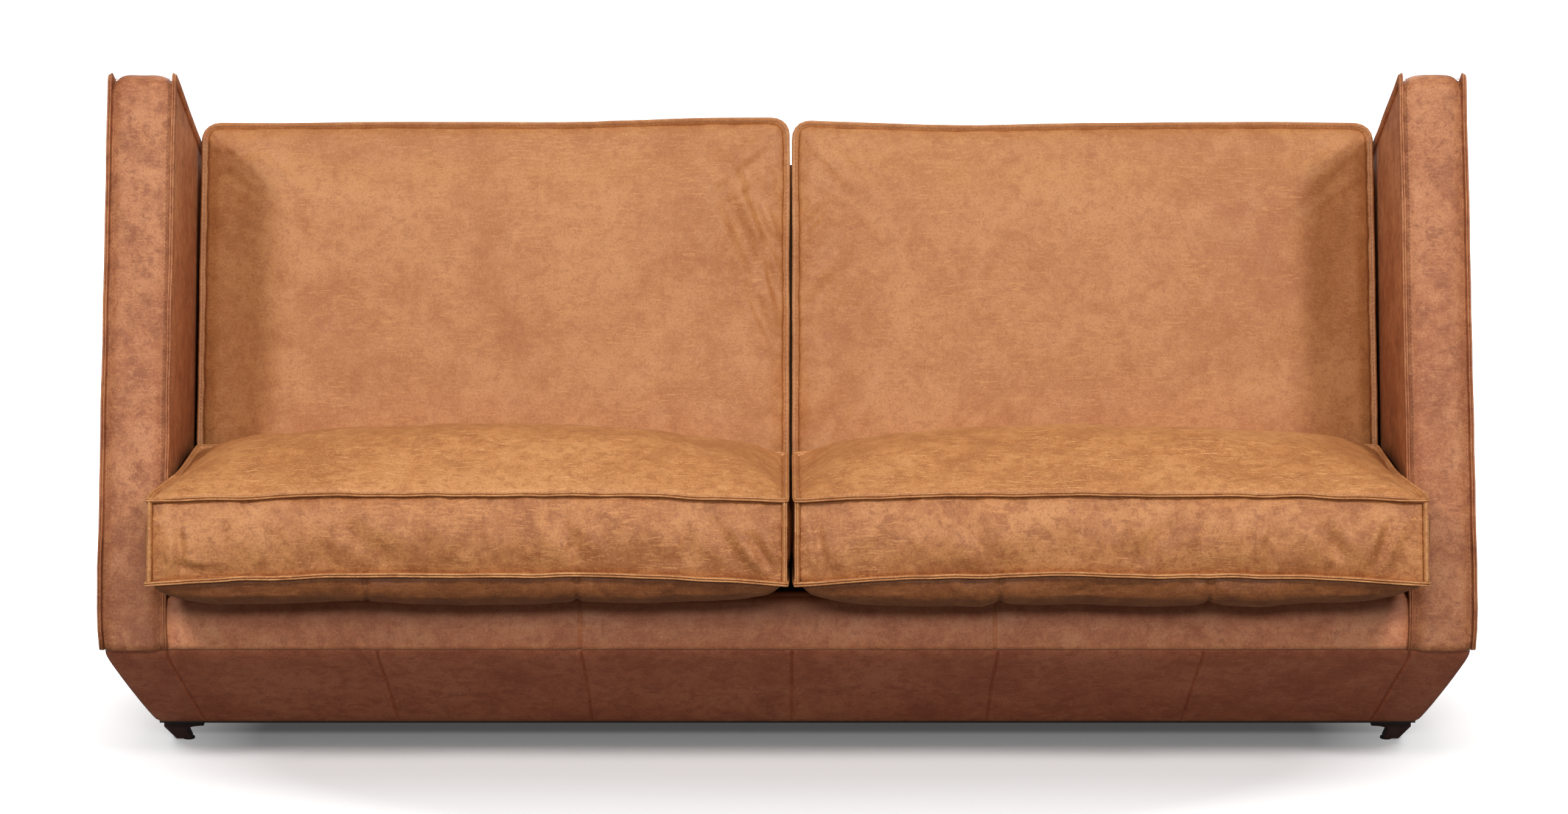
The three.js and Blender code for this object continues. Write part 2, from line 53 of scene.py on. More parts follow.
# Side view of the shell, as (Y, Z) in metres: front seam, arm peak, rear of the arm top, rear foot.
FRONT_RAKE = 0.3983
BACK_RAKE = 0.392
SEAM_Z = 0.205
FRONT_SEAM = (-0.3303, SEAM_Z)
ARM_RISE = 0.798
PEAK = (FRONT_SEAM[0] + ARM_RISE * FRONT_RAKE, SEAM_Z + ARM_RISE)
ARM_TAIL = (0.4177, 0.7466)
TOP_FALL = 0.596  # how steeply the arm tops and the back's top fall to the rear
REAR_FOOT = (0.3927, SEAM_Z)
HALF_WIDTH = 1.010
ARM_INNER = 0.912
BASE_LOW = 0.042
TUCK_FRONT, TUCK_SIDE, TUCK_REAR = 0.156, 0.054, 0.045

LIP = 0.0065  # how far a flange stands proud
LIP_THICK = 0.0060
STITCH_LONG, STITCH_PITCH, STITCH_FAT = 0.0046, 0.0064, 0.00062

# ------------------------------------------------------------------ small helpers


def put_in_scene(name, data):
    obj = bpy.data.objects.new(name, data)
    bpy.context.scene.collection.objects.link(obj)
    return obj


def as_mesh(name, bm):
    """The finished mesh of a bmesh, which is let go."""
    mesh = bpy.data.meshes.new(name)
    bm.to_mesh(mesh)
    bm.free()
    return mesh


def new_piece(name, mesh, body, material, smooth=True):
    """A finished piece at the origin, riding on its body."""
    if isinstance(mesh, bmesh.types.BMesh):
        mesh = as_mesh(name, mesh)
    mesh.name = name
    obj = put_in_scene(name, mesh)
    mesh.materials.clear()
    mesh.materials.append(material)
    mesh.polygons.foreach_set("use_smooth", [smooth] * len(mesh.polygons))
    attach(obj, body)
    return obj


def lines_meet(a, b, c, d):
    """Where the line through a and b meets the line through c and d."""
    ab, cd = (b[0] - a[0], b[1] - a[1]), (d[0] - c[0], d[1] - c[1])
    t = ((c[0] - a[0]) * cd[1] - (c[1] - a[1]) * cd[0]) / (ab[0] * cd[1] - ab[1] * cd[0])
    return (a[0] + ab[0] * t, a[1] + ab[1] * t)


def shrink(points, amounts):
    """Move every edge of an outline inwards by its own amount; outlines run clockwise."""
    edges = []
    for i, a in enumerate(points):
        b = points[(i + 1) % len(points)]
        long = math.hypot(b[0] - a[0], b[1] - a[1])
        nx, ny = (b[1] - a[1]) / long, -(b[0] - a[0]) / long
        s = amounts[i]
        edges.append(((a[0] + nx * s, a[1] + ny * s), (b[0] + nx * s, b[1] + ny * s)))
    return [lines_meet(*edges[i - 1], *edges[i]) for i in range(len(points))]


def round_off(points, radii, steps=7):
    """Replace each corner that has a radius by an arc."""
    out = []
    for i, p in enumerate(points):
        if radii[i] <= 0:
            out.append(p)
            continue
        here = Vector(p)
        before = (Vector(points[i - 1]) - here).normalized()
        after = (Vector(points[(i + 1) % len(points)]) - here).normalized()
        half = math.acos(max(-1, min(1, before.dot(after)))) / 2
        middle = here + (before + after).normalized() * (radii[i] / math.sin(half))
        start = here + before * (radii[i] / math.tan(half)) - middle
        end = here + after * (radii[i] / math.tan(half)) - middle
        sweep = math.atan2(start.x * end.y - start.y * end.x, start.dot(end))
        for s in range(steps + 1):
            a = sweep * s / steps
            turned = Vector((start.x * math.cos(a) - start.y * math.sin(a),
                             start.x * math.sin(a) + start.y * math.cos(a)))
            out.append(tuple(middle + turned))
    return out


def spread(points, pitch, closed=True):
    """Points every pitch or so along a line, keeping its corners."""
    out = []
    last = len(points) if closed else len(points) - 1
    for i in range(last):
        a, b = Vector(points[i]), Vector(points[(i + 1) % len(points)])
        steps = max(1, round((b - a).length / pitch))
        out += [tuple(a.lerp(b, s / steps)) for s in range(steps)]
    if not closed:
        out.append(tuple(points[-1]))
    return out


def swept(place, long, round_, closed_long=False):
    """A tube or strip made from one grid: place(i, j) gives the point at step i along and j around."""
    bm = bmesh.new()
    bmesh.ops.create_grid(bm, x_segments=long, y_segments=round_, size=1)
    for v in bm.verts:
        i = round((v.co.x + 1) / 2 * long)
        j = round((v.co.y + 1) / 2 * round_)
        v.co = place(i % long if closed_long else i, j % round_)
    bmesh.ops.remove_doubles(bm, verts=bm.verts, dist=1e-6)
    if not closed_long:
        bmesh.ops.holes_fill(bm, edges=[e for e in bm.edges if e.is_boundary], sides=0)
    bmesh.ops.recalc_face_normals(bm, faces=bm.faces)
    return bm


def join(parts):
    """One bmesh from several."""
    whole = bmesh.new()
    for part in parts:
        mesh = as_mesh("part", part)
        whole.from_mesh(mesh)
        bpy.data.meshes.remove(mesh)
    return whole


def unit(rows):
    """Each row of an array at length one."""
    return rows / np.maximum(np.linalg.norm(rows, axis=1, keepdims=True), 1e-9)


def along(points, closed):
    """Unit directions along a line of points."""
    pts = np.array(points, float)
    return unit(np.roll(pts, -1, 0) - np.roll(pts, 1, 0) if closed else np.gradient(pts, axis=0))


def walk(points, closed):
    """A line of points, closed if asked, with the length walked to reach each."""
    pts = np.array(points, float)
    if closed:
        pts = np.vstack([pts, pts[:1]])
    return pts, np.concatenate([[0], np.cumsum(np.linalg.norm(np.diff(pts, axis=0), axis=1))])


def read_on(at, run, rows):
    """The rows read off at lengths along the line."""
    return np.stack([np.interp(at, run, rows[:, c]) for c in range(rows.shape[1])], -1)


def nearest_of(points):
    """A tree that finds the nearest of the points."""
    tree = KDTree(len(points))
    for i, p in enumerate(points):
        tree.insert(p, i)
    tree.balance()
    return tree


def flange(points, out, high, thick, closed=False, root=0.003):
    """Two layers of leather sewn edge to edge, standing out from a line the way out gives at each point."""
    pts, out = np.array(points, float), unit(np.array(out, float))
    side = unit(np.cross(along(points, closed), out))
    t = thick / 2
    section = [(-root, -t), (high - 0.7 * t, -t), (high - 0.15 * t, -0.85 * t), (high, -0.55 * t),
               (high - 0.25 * t, -0.20 * t), (high - 1.5 * t, 0), (high - 0.25 * t, 0.20 * t),
               (high, 0.55 * t), (high - 0.15 * t, 0.85 * t), (high - 0.7 * t, t), (-root, t)]

    def place(i, j):
        u, w = section[j]
        return Vector(pts[i] + out[i] * u + side[i] * w)

    steps = len(pts) if closed else len(pts) - 1
    return swept(place, steps, len(section), closed_long=closed)


def stitches(name, rows, body, material):
    """Thread laid along rows of (points, surface normals, closed); one small shape copied to every stitch."""
    seed = bmesh.new()
    bmesh.ops.create_uvsphere(seed, u_segments=6, v_segments=4, radius=1)
    shape = np.array([v.co[:] for v in seed.verts])
    faces = [[v.index for v in f.verts] for f in seed.faces]
    seed.free()
    verts, polys = [], []
    for points, normals, closed in rows:
        pts, run = walk(points, closed)
        nor = np.array(normals, float)
        if closed:
            nor = np.vstack([nor, nor[:1]])
        count = max(1, int(run[-1] / STITCH_PITCH))
        for k in range(count):
            at = (k + 0.5) * run[-1] / count
            p, n = read_on(at, run, pts), read_on(at, run, nor)
            ahead = read_on(min(at + 0.002, run[-1]), run, pts) - read_on(max(at - 0.002, 0), run, pts)
            ahead = ahead / max(np.linalg.norm(ahead), 1e-9)
            n = n - ahead * n.dot(ahead)
            n /= max(np.linalg.norm(n), 1e-9)
            across = np.cross(n, ahead)
            base = len(verts)
            for s in shape:
                verts.append(p + n * 0.0001 + across * s[0] * STITCH_FAT + n * s[1] * STITCH_FAT
                             + ahead * s[2] * STITCH_LONG / 2)
            polys += [[base + i for i in f] for f in faces]
    mesh = bpy.data.meshes.new(name)
    mesh.from_pydata([tuple(v) for v in verts], [], polys)
    bm = bmesh.new()
    bm.from_mesh(mesh)
    bmesh.ops.recalc_face_normals(bm, faces=bm.faces)
    bpy.data.meshes.remove(mesh)
    return new_piece(name, bm, body, material)


# ------------------------------------------------------------------ finishes

DARK_PIT = (0.10, 0.025, 0.008, 1)


def group(name, inputs, outputs):
    """An empty node group with its sockets: its tree, its input node and its output node."""
    tree = bpy.data.node_groups.new(name, "ShaderNodeTree")
    for label, kind, value in inputs:
        socket = tree.interface.new_socket(label, in_out="INPUT", socket_type=kind)
        socket.default_value = value
    for label, kind in outputs:
        tree.interface.new_socket(label, in_out="OUTPUT", socket_type=kind)
    return tree, tree.nodes.new("NodeGroupInput"), tree.nodes.new("NodeGroupOutput")


class Wiring:
    """Short calls for laying out nodes."""

    def __init__(self, tree):
        self.tree = tree

    def put(self, kind, values=None, **settings):
        node = self.tree.nodes.new(kind)
        for key, value in settings.items():
            setattr(node, key, value)
        for key, value in (values or {}).items():
            socket = node.inputs[key]
            if isinstance(value, bpy.types.NodeSocket):
                self.tree.links.new(value, socket)
            else:
                socket.default_value = value
        return node

    def noise(self, where, scale, detail=3.0, rough=0.5, bend=0.0):
        return self.put("ShaderNodeTexNoise", {"Vector": where, "Scale": scale, "Detail": detail,
                                               "Roughness": rough, "Distortion": bend}).outputs["Fac"]

    def band(self, value, low, high, to_low=0.0, to_high=1.0):
        return self.put("ShaderNodeMapRange", {"Value": value, "From Min": low, "From Max": high,
                                               "To Min": to_low, "To Max": to_high}).outputs["Result"]

    def wire(self, source, node, socket):
        self.tree.links.new(source, node.inputs[socket])

    def place(self, **settings):
        """Where a point lies on its object, turned, moved or scaled."""
        where = self.put("ShaderNodeTexCoord").outputs["Object"]
        if settings:
            where = self.put("ShaderNodeMapping", {"Vector": where, **settings}).outputs[0]
        return where

    def sum(self, kind, a, b):
        return self.put("ShaderNodeMath", {0: a, 1: b}, operation=kind).outputs[0]

    def mix(self, fac, a, b):
        return self.put("ShaderNodeMix", {0: fac, 6: a, 7: b}, data_type="RGBA").outputs[2]


def make_hide_group():
    """Pull-up leather: clouds, mottling, pale strokes where the wax has pulled away, pits and pebble."""
    tree, inp, out = group(
        "hide",
        [("Place", "NodeSocketVector", (0, 0, 0)), ("Tone", "NodeSocketColor", (0.5, 0.2, 0.08, 1)),
         ("Deep", "NodeSocketColor", (0.3, 0.1, 0.04, 1)), ("Pale", "NodeSocketColor", (0.6, 0.3, 0.13, 1))]
        + [(label, "NodeSocketFloat", 0.5) for label in ("Clouding", "Mottle", "Strokes", "Pebble")],
        [("Color", "NodeSocketColor"), ("Roughness", "NodeSocketFloat"), ("Height", "NodeSocketFloat")])
    w = Wiring(tree)
    at = inp.outputs["Place"]
    tone, deep, pale = inp.outputs["Tone"], inp.outputs["Deep"], inp.outputs["Pale"]

    def stain(tone, mask, amount, colour):
        return w.mix(w.sum("MULTIPLY", mask, amount), tone, colour)

    clouds = w.noise(at, 3.4, 4.0, 0.55, 0.6)
    clouding = inp.outputs["Clouding"]
    tone = stain(tone, w.band(clouds, 0.50, 0.68), clouding, deep)
    tone = stain(tone, w.band(clouds, 0.50, 0.32), clouding, pale)
    # Mottling in two sizes, softly edged.
    blotch = w.noise(at, 19.0, 5.0, 0.66, 0.5)
    mottle = w.noise(at, 60.0, 5.0, 0.68, 0.4)
    amount = inp.outputs["Mottle"]
    tone = stain(tone, w.band(blotch, 0.49, 0.66), amount, deep)
    tone = stain(tone, w.band(blotch, 0.50, 0.34), w.sum("MULTIPLY", amount, 0.6), pale)
    tone = stain(tone, w.band(mottle, 0.51, 0.62), w.sum("MULTIPLY", amount, 0.80), deep)
    tone = stain(tone, w.band(mottle, 0.46, 0.30), w.sum("MULTIPLY", amount, 0.7), pale)
    # Short pale strokes lying four ways, in patches.
    strokes = None
    for turn, gate in (((0.5, 0.25, 0.6), 5.0), ((-0.4, 0.95, -0.5), 7.0),
                       ((0.3, -0.7, 1.9), 6.0), ((1.3, 2.2, 0.2), 9.0)):
        laid = w.put("ShaderNodeMapping", {"Vector": at, "Rotation": turn, "Scale": (34.0, 260.0, 260.0)})
        laid = laid.outputs[0]
        line = w.band(w.noise(laid, 1.0, 2.0, 0.5, 0.9), 0.595, 0.665)
        line = w.sum("MULTIPLY", line, w.band(w.noise(at, gate * 1.7, 2.0), 0.42, 0.62))
        strokes = line if strokes is None else w.sum("MAXIMUM", strokes, line)
    cracks = w.put("ShaderNodeTexVoronoi", {"Vector": at, "Scale": 150.0}, feature="DISTANCE_TO_EDGE")
    cracks = cracks.outputs["Distance"]
    cracks = w.sum("MULTIPLY", w.band(cracks, 0.07, 0.0), w.band(blotch, 0.45, 0.58))
    marks = w.sum("MAXIMUM", strokes, w.sum("MULTIPLY", cracks, 0.35))
    tone = stain(tone, marks, inp.outputs["Strokes"], pale)
    # Small dark pits here and there, and dark pores all over.
    cells = w.put("ShaderNodeTexVoronoi", {"Vector": at, "Scale": 26.0})
    lone = w.band(w.put("ShaderNodeSeparateColor", {"Color": cells.outputs["Color"]}).outputs[0], 0.86, 0.88)
    pits = w.sum("MULTIPLY", w.band(cells.outputs["Distance"], 0.040, 0.022), lone)
    tone = stain(tone, pits, 0.55, DARK_PIT)
    speck = w.noise(at, 330.0, 3.0, 0.7)
    tone = stain(tone, w.band(speck, 0.50, 0.68), 0.60, deep)
    tone = stain(tone, w.band(speck, 0.47, 0.32), 0.40, pale)
    pores = w.put("ShaderNodeTexVoronoi", {"Vector": at, "Scale": 620.0}, feature="DISTANCE_TO_EDGE")
    grain = w.band(pores.outputs["Distance"], 0.0, 0.16)
    tone = stain(tone, w.band(grain, 0.5, 0.0), 0.16, deep)
    w.wire(tone, out, "Color")
    wax = w.band(blotch, 0.3, 0.7, 0.40, 0.54)
    w.wire(w.sum("ADD", wax, w.sum("MULTIPLY", marks, 0.10)), out, "Roughness")
    pebble = w.sum("MULTIPLY", grain, w.sum("MULTIPLY", inp.outputs["Pebble"], 0.00022))
    folds = w.sum("MULTIPLY", w.noise(at, 130.0, 4.0, 0.6, 0.8), 0.00070)
    swell = w.sum("MULTIPLY", w.noise(at, 26.0, 3.0, 0.5, 0.5), 0.0022)
    scored = w.sum("ADD", swell, w.sum("MULTIPLY", marks, -0.00012))
    height = w.sum("ADD", w.sum("ADD", pebble, folds), scored)
    w.wire(height, out, "Height")
    return tree


HIDE = make_hide_group()


def fresh_finish(name):
    """A new material, the wiring of its nodes, and its shader."""
    material = bpy.data.materials.new(name)
    material.use_nodes = True
    return material, Wiring(material.node_tree), material.node_tree.nodes["Principled BSDF"]


def raise_surface(w, shader, height, strength):
    bump = w.put("ShaderNodeBump", {"Strength": strength, "Distance": 1.0, "Height": height})
    w.wire(bump.outputs["Normal"], shader, "Normal")


def hide(name, tone, deep, pale, clouding, mottle, strokes, pebble, shift, shaded=None):
    """One hide of leather: its three tones, how strongly each mark shows, where on the skin it is cut, and,
    if asked, painted shade above a height.
    """
    material, w, shader = fresh_finish(name)
    skin = w.put("ShaderNodeGroup", node_tree=HIDE)
    w.wire(w.place(Location=shift), skin, "Place")
    for label, value in (("Tone", (*tone, 1)), ("Deep", (*deep, 1)), ("Pale", (*pale, 1)),
                         ("Clouding", clouding), ("Mottle", mottle), ("Strokes", strokes),
                         ("Pebble", pebble)):
        skin.inputs[label].default_value = value
    colour = skin.outputs["Color"]
    if shaded:
        # Painted shade: above a height the hide is darkened towards a deep tone, standing in for the shadow
        # the cushions cast on it.
        low, high, share = shaded
        height = w.put("ShaderNodeSeparateXYZ", {"Vector": w.place()}).outputs["Z"]
        painted_shade = w.sum("MULTIPLY", w.band(height, low, high), share)
        colour = w.mix(painted_shade, colour, (*[c * 0.35 for c in deep], 1))
    w.wire(colour, shader, "Base Color")
    w.wire(skin.outputs["Roughness"], shader, "Roughness")
    raise_surface(w, shader, skin.outputs["Height"], 0.7)
    shader.inputs["Specular IOR Level"].default_value = 0.42
    return material


def plain(name, color, roughness, grain_scale, grain_depth, stretch=(1, 1, 1), second=None):
    """A finish with a stretched grain in its colour and its surface."""
    material, w, shader = fresh_finish(name)
    place = w.place(Scale=stretch)
    grain = w.noise(place, grain_scale, 5.0, 0.6, 0.6)
    dark = second or tuple(c * 0.62 for c in color)
    w.wire(w.mix(w.band(grain, 0.35, 0.65), (*color, 1), (*dark, 1)), shader, "Base Color")
    w.wire(w.band(grain, 0.3, 0.7, roughness - 0.05, roughness + 0.07), shader, "Roughness")
    fine = w.noise(place, grain_scale * 6, 3.0, 0.6)
    height = w.sum("MULTIPLY", w.sum("ADD", grain, w.sum("MULTIPLY", fine, 0.4)), grain_depth)
    raise_surface(w, shader, height, 0.8)
    return material


def woven(name, color, pitch, depth, roughness=0.9):
    """A plain weave: warp and weft bands crossing."""
    material, w, shader = fresh_finish(name)
    yarns = {"Vector": w.place(), "Scale": pitch, "Distortion": 0.4}
    warp, weft = (w.put("ShaderNodeTexWave", yarns, bands_direction=way).outputs["Fac"] for way in "XY")
    weave = w.sum("MAXIMUM", warp, weft)
    dark = tuple(c * 0.55 for c in color)
    w.wire(w.mix(weave, (*dark, 1), (*color, 1)), shader, "Base Color")
    raise_surface(w, shader, w.sum("MULTIPLY", weave, depth), 0.8)
    shader.inputs["Roughness"].default_value = roughness
    return material


back_hide = hide("back_cushion_hide", (0.500, 0.198, 0.062), (0.37, 0.124, 0.036), (0.62, 0.285, 0.105),
                 0.60, 0.62, 0.70, 0.4, (0.3, 0.1, 0.7))
seat_hide = hide("seat_cushion_hide", (0.55, 0.222, 0.070), (0.38, 0.133, 0.038), (0.74, 0.360, 0.135),
                 0.55, 0.75, 1.00, 0.5, (1.7, 0.9, 0.2))
border_hide = hide("seat_border_hide", (0.50, 0.188, 0.056), (0.34, 0.108, 0.030), (0.68, 0.300, 0.105),
                   0.65, 0.95, 0.80, 0.5, (0.9, 2.9, 1.2))
# The underside is painted much darker than the top, as painted shade for the shadow under the cushion.
belly_painted_shade_hide = hide("seat_belly_painted_shade", (0.27, 0.084, 0.022), (0.18, 0.050, 0.012), (0.40, 0.145, 0.042),
                  0.50, 0.60, 0.60, 0.5, (2.2, 0.4, 0.8))
# The rail's leather is painted lighter than the arms' as painted light for its lit lower half, and darker at
# its top as painted shade under the cushions.
rail_painted_light_and_shade_hide = hide("front_rail_painted_light_and_shade", (0.76, 0.268, 0.115), (0.52, 0.155, 0.064), (0.84, 0.380, 0.180),
                  0.50, 0.90, 0.45, 0.8, (2.7, 1.4, 0.3), (SEAM_Z + 0.030, SEAM_Z + 0.054, 0.62))
arm_hide = hide("arm_hide", (0.485, 0.172, 0.064), (0.31, 0.092, 0.036), (0.66, 0.295, 0.130),
                0.50, 0.90, 0.50, 0.9, (0.2, 2.4, 1.1))
base_hide = hide("base_hide", (0.52, 0.142, 0.058), (0.37, 0.090, 0.036), (0.66, 0.225, 0.105),
                 0.60, 0.80, 0.45, 0.7, (3.1, 0.4, 1.9))
thread = plain("thread", (0.42, 0.185, 0.08), 0.6, 900, 0.0001)
leg_wood = plain("dark_leg_wood", (0.065, 0.028, 0.024), 0.36, 60, 0.00015, (1, 1, 0.12),
                 (0.034, 0.014, 0.012))
frame_timber = plain("frame_timber", (0.56, 0.40, 0.23), 0.7, 22, 0.0003, (0.15, 1, 1))
nylon = plain("glide_nylon", (0.03, 0.03, 0.03), 0.45, 300, 0.0001)
foam = plain("foam", (0.80, 0.74, 0.58), 0.95, 400, 0.0006)
black_cloth = woven("black_cloth", (0.022, 0.022, 0.022), 380, 0.0003)
lining = woven("lining_cloth", (0.33, 0.19, 0.10), 380, 0.0003)
webbing = woven("webbing", (0.06, 0.055, 0.05), 150, 0.0008)

FINISH_OF_SLOT = {
    "arm_leather": arm_hide, "base_leather": base_hide, "cushion_leather": seat_hide, "leg_wood": leg_wood,
    "frame_timber": frame_timber, "glide_nylon": nylon, "dust_fabric": black_cloth,
    "lining_fabric": lining, "strap_webbing": webbing, "cushion_foam": foam,
}
for part in frame["record"]["subparts"]:
    node = frame["nodes"][part["node"]]
    node.data.materials.clear()
    node.data.materials.append(FINISH_OF_SLOT[part["material_slot"]])

# ------------------------------------------------------------------ arms


def slab(outline, radii, x0, x1, edge, crown, pitch=0.012):
    """A padded slab: an outline in side view, carried across in X with rounded edges and a slight crown."""
    stations = []
    for k in range(5):
        a = math.pi / 2 * k / 4
        stations.append((edge * (1 - math.cos(a)), edge * (1 - math.sin(a))))
    width = abs(x1 - x0)
    for k in range(1, 16):
        t = k / 16
        stations.append((edge + (width - 2 * edge) * t, -crown * (1 - abs(2 * t - 1) ** 5)))
    stations += [(width - x, d) for x, d in reversed(stations[:5])]
    low = min(x0, x1)
    rings = []
    for x, d in stations:
        amounts = [d, d, d, min(d, 0)] if len(outline) == 4 else [d] * len(outline)
        amounts[-1] = 0
        ring = round_off(shrink(outline, amounts), [max(r - d, 0.001) if r else 0 for r in radii])
        rings.append((low + x, spread(ring, pitch)))
    count = min(len(r) for _, r in rings)
    rings = [(x, even(r, count)) if len(r) != count else (x, r) for x, r in rings]

    def place(i, j):
        x, ring = rings[i]
        p = Vector((x, *ring[j]))
        loose = min(1.0, crown / 0.006) * math.sin(math.pi * i / (len(rings) - 1))
        give = 0.0016 * noise.noise(p * 14) + 0.0009 * noise.noise(p * 38)
        return p + Vector((0, -0.45, 0.9)) * loose * give

    return swept(place, len(rings) - 1, count)


def even(points, count):
    """The same closed outline in a given number of points, corners nearly kept."""
    pts, run = walk(points, True)
    return [tuple(p) for p in read_on(np.linspace(0, run[-1], count + 1)[:-1], run, pts)]


ARM_OUTLINE = [(FRONT_SEAM[0], SEAM_Z + 0.0005), PEAK, ARM_TAIL, (REAR_FOOT[0], SEAM_Z + 0.0005)]
ARM_EDGE, ARM_CROWN = 0.008, 0.0078  # the band's rounding and its swell
ARM_INSET = 0.002  # leather inside the outline of the panels
BULGE_LEFT, BULGE_RIGHT, BULGE_INSIDE = 0.0055, 0.0045, 0.0032
TOP_SWELL = 0.0040


def swell_out(side, x, z):
    """How far an arm's leather stands out sideways over the seam of the base; less on the inside."""
    t = min(1.0, max(0.0, (z - SEAM_Z) / 0.050))
    share = min(1.0, max(0.0, (abs(x) - ARM_INNER - 0.006) / 0.030))
    far = BULGE_LEFT if side < 0 else BULGE_RIGHT
    return (BULGE_INSIDE + (far - BULGE_INSIDE) * share) * t * t * (3 - 2 * t)


def make_arm(side):
    """One arm: padded body, a flange along each side of its front, top and rear, and the topstitching."""
    name = "left" if side < 0 else "right"
    body = slab(ARM_OUTLINE, [0, 0.026, 0.026, 0], side * (HALF_WIDTH - ARM_INSET),
                side * (ARM_INNER + ARM_INSET), ARM_EDGE, ARM_CROWN)
    line = round_off(ARM_OUTLINE, [0, 0.008, 0.022, 0], 5)
    line = spread(line, 0.03, closed=False)
    flat = np.array(line)
    ahead = np.gradient(flat, axis=0)
    outward = unit(np.stack([-ahead[:, 1], ahead[:, 0]], 1))
    parts, rows = [body], []
    for x, inward in ((side * (HALF_WIDTH - 0.0022), -side), (side * (ARM_INNER + 0.0022), side)):
        wave = [0.0011 * noise.noise(Vector((x * 3, p[0] * 14, p[1] * 14))) for p in line]
        pts = [(x + w, p[0], p[1]) for p, w in zip(line, wave)]
        out = [(0, o[0], o[1]) for o in outward]
        parts.append(flange(pts, out, LIP, LIP_THICK, root=0.008))
        # Topstitching on the band beside the flange, along the front and the top.
        row = [(x + inward * 0.0085 + w, p[0] + o[0] * 0.0008, p[1] + o[1] * 0.0008)
               for p, w, o in zip(line, wave, outward)]
        rows.append((row, out, False))
        row = [(x - inward * 0.0026, p[0] - o[0] * 0.0045, p[1] - o[1] * 0.0045)
               for p, o in zip(line, outward)]
        rows.append((row, [(-inward, 0, 0)] * len(row), False))
    whole = join(parts)
    across = HALF_WIDTH - ARM_INNER
    for v in whole.verts:
        over = min(1.0, max(0.0, (v.co.z - PEAK[1] + 0.040) / 0.030))
        v.co.z += TOP_SWELL * over * max(0.0, 1 - abs(2 * (abs(v.co.x) - ARM_INNER) / across - 1) ** 12)
        v.co.x += side * swell_out(side, v.co.x, v.co.z)
    rows = [([(x + side * swell_out(side, x, z), y, z) for x, y, z in row], out, closed)
            for row, out, closed in rows]
    arm = new_piece(f"arm_leather_{name}", whole, "frame", arm_hide)
    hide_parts(f"arm_panel_outer_{name}", f"arm_panel_inner_{name}", f"arm_band_{name}")
    stitches(f"arm_thread_{name}", rows, "frame", thread)
    return arm


for side in (-1, 1):
    make_arm(side)

# ------------------------------------------------------------------ front strip and base


def rake_y(z):
    return FRONT_SEAM[0] + (z - SEAM_Z) * FRONT_RAKE


STRIP_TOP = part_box("front_strip_middle")[1].z
STRIP_HALF = ARM_INNER + 0.0032
SEAM_THIRD = STRIP_HALF / 3


def make_front_strip():
    """The leather over the front rail: three lengths joined by plain seams, softly rounded over the top."""
    xs = []
    for k in range(121):
        xs.append(-STRIP_HALF + 2 * STRIP_HALF * k / 120)
    for seam in (-SEAM_THIRD, SEAM_THIRD):
        xs += [seam + d for d in (-0.009, -0.005, -0.0025, -0.001, 0.001, 0.0025, 0.005, 0.009)]
    xs = sorted(xs)
    # Front face up from the seam, over the top and a little way back under the cushions, then home.
    face = [(0.0, 0.0012)]
    top = STRIP_TOP - SEAM_Z
    for k in range(1, 11):
        t = k / 11
        face.append((top * t, -0.0035 * math.sin(math.pi * min(1, t * 1.05)) ** 0.7))
    count = len(face) + 9

    def place(i, j):
        x = xs[i]
        near = min(abs(x - SEAM_THIRD), abs(x + SEAM_THIRD))
        dip = 0.0034 * math.exp(-(near / 0.0020) ** 2)
        roll = 0.0012 * noise.noise(Vector((x * 6, j * 0.35, 3.0)))
        if j < len(face):
            up, out = face[j]
            z = SEAM_Z + 0.0006 + up
            return Vector((x, rake_y(z) + out + dip + roll * (j > 0), z))
        k = j - len(face)
        if k < 5:
            a = math.pi / 2 * (k + 0.5) / 5 + 0.35
            z0, y0 = STRIP_TOP - 0.010, rake_y(STRIP_TOP) + 0.010
            z = z0 + 0.0095 * math.sin(a)
            return Vector((x, y0 - 0.0095 * math.cos(a) + dip * 0.5, z))
        back = [(0.022, -0.0012), (0.022, -0.006), (0.009, -0.010), (0.006, None)][k - 5]
        if back[1] is None:
            return Vector((x, rake_y(SEAM_Z) + 0.0045, SEAM_Z + 0.0006))
        return Vector((x, rake_y(STRIP_TOP) + back[0], STRIP_TOP + back[1] - 0.0006))

    bm = swept(place, len(xs) - 1, count)
    strip = new_piece("front_rail_leather", bm, "frame", rail_painted_light_and_shade_hide)
    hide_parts("front_strip_left", "front_strip_middle", "front_strip_right")
    return strip


make_front_strip()


def base_plan():
    """Stations round the base as (side, share along that side), dense at the corners and at the seams."""
    front = {round(-1 + 2 * k / 96, 5) for k in range(97)}
    front |= {round(f + way * d, 5) for f in SEAM_SHARES for way in (-1, 1) for d in SEAM_STEPS}
    corner = [k / 6 for k in range(7)]
    flank = [-0.95 + 1.9 * k / 30 for k in range(31)]
    rear = [round(FLAT_SHARE - 2 * FLAT_SHARE * k / 60, 5) for k in range(61)]
    runs = (("front", [f for f in sorted(front) if abs(f) <= FLAT_SHARE]), ("corner_fr", corner),
            ("right", flank), ("corner_rr", corner), ("rear", rear), ("corner_rl", corner),
            ("left", [-f for f in flank]), ("corner_fl", corner))
    return [(side, share) for side, shares in runs for share in shares]


# Front seams, as a share of half the width, and the steps taken beside each.
SEAM_SHARES = [-0.908, -0.600, -0.302, 0.006, 0.308, 0.608, 0.910]
SEAM_STEPS = (0, 0.0007, 0.0015, 0.0025, 0.004, 0.006, 0.009)
FLAT_SHARE = 0.985
BASE_CORNER = 0.012
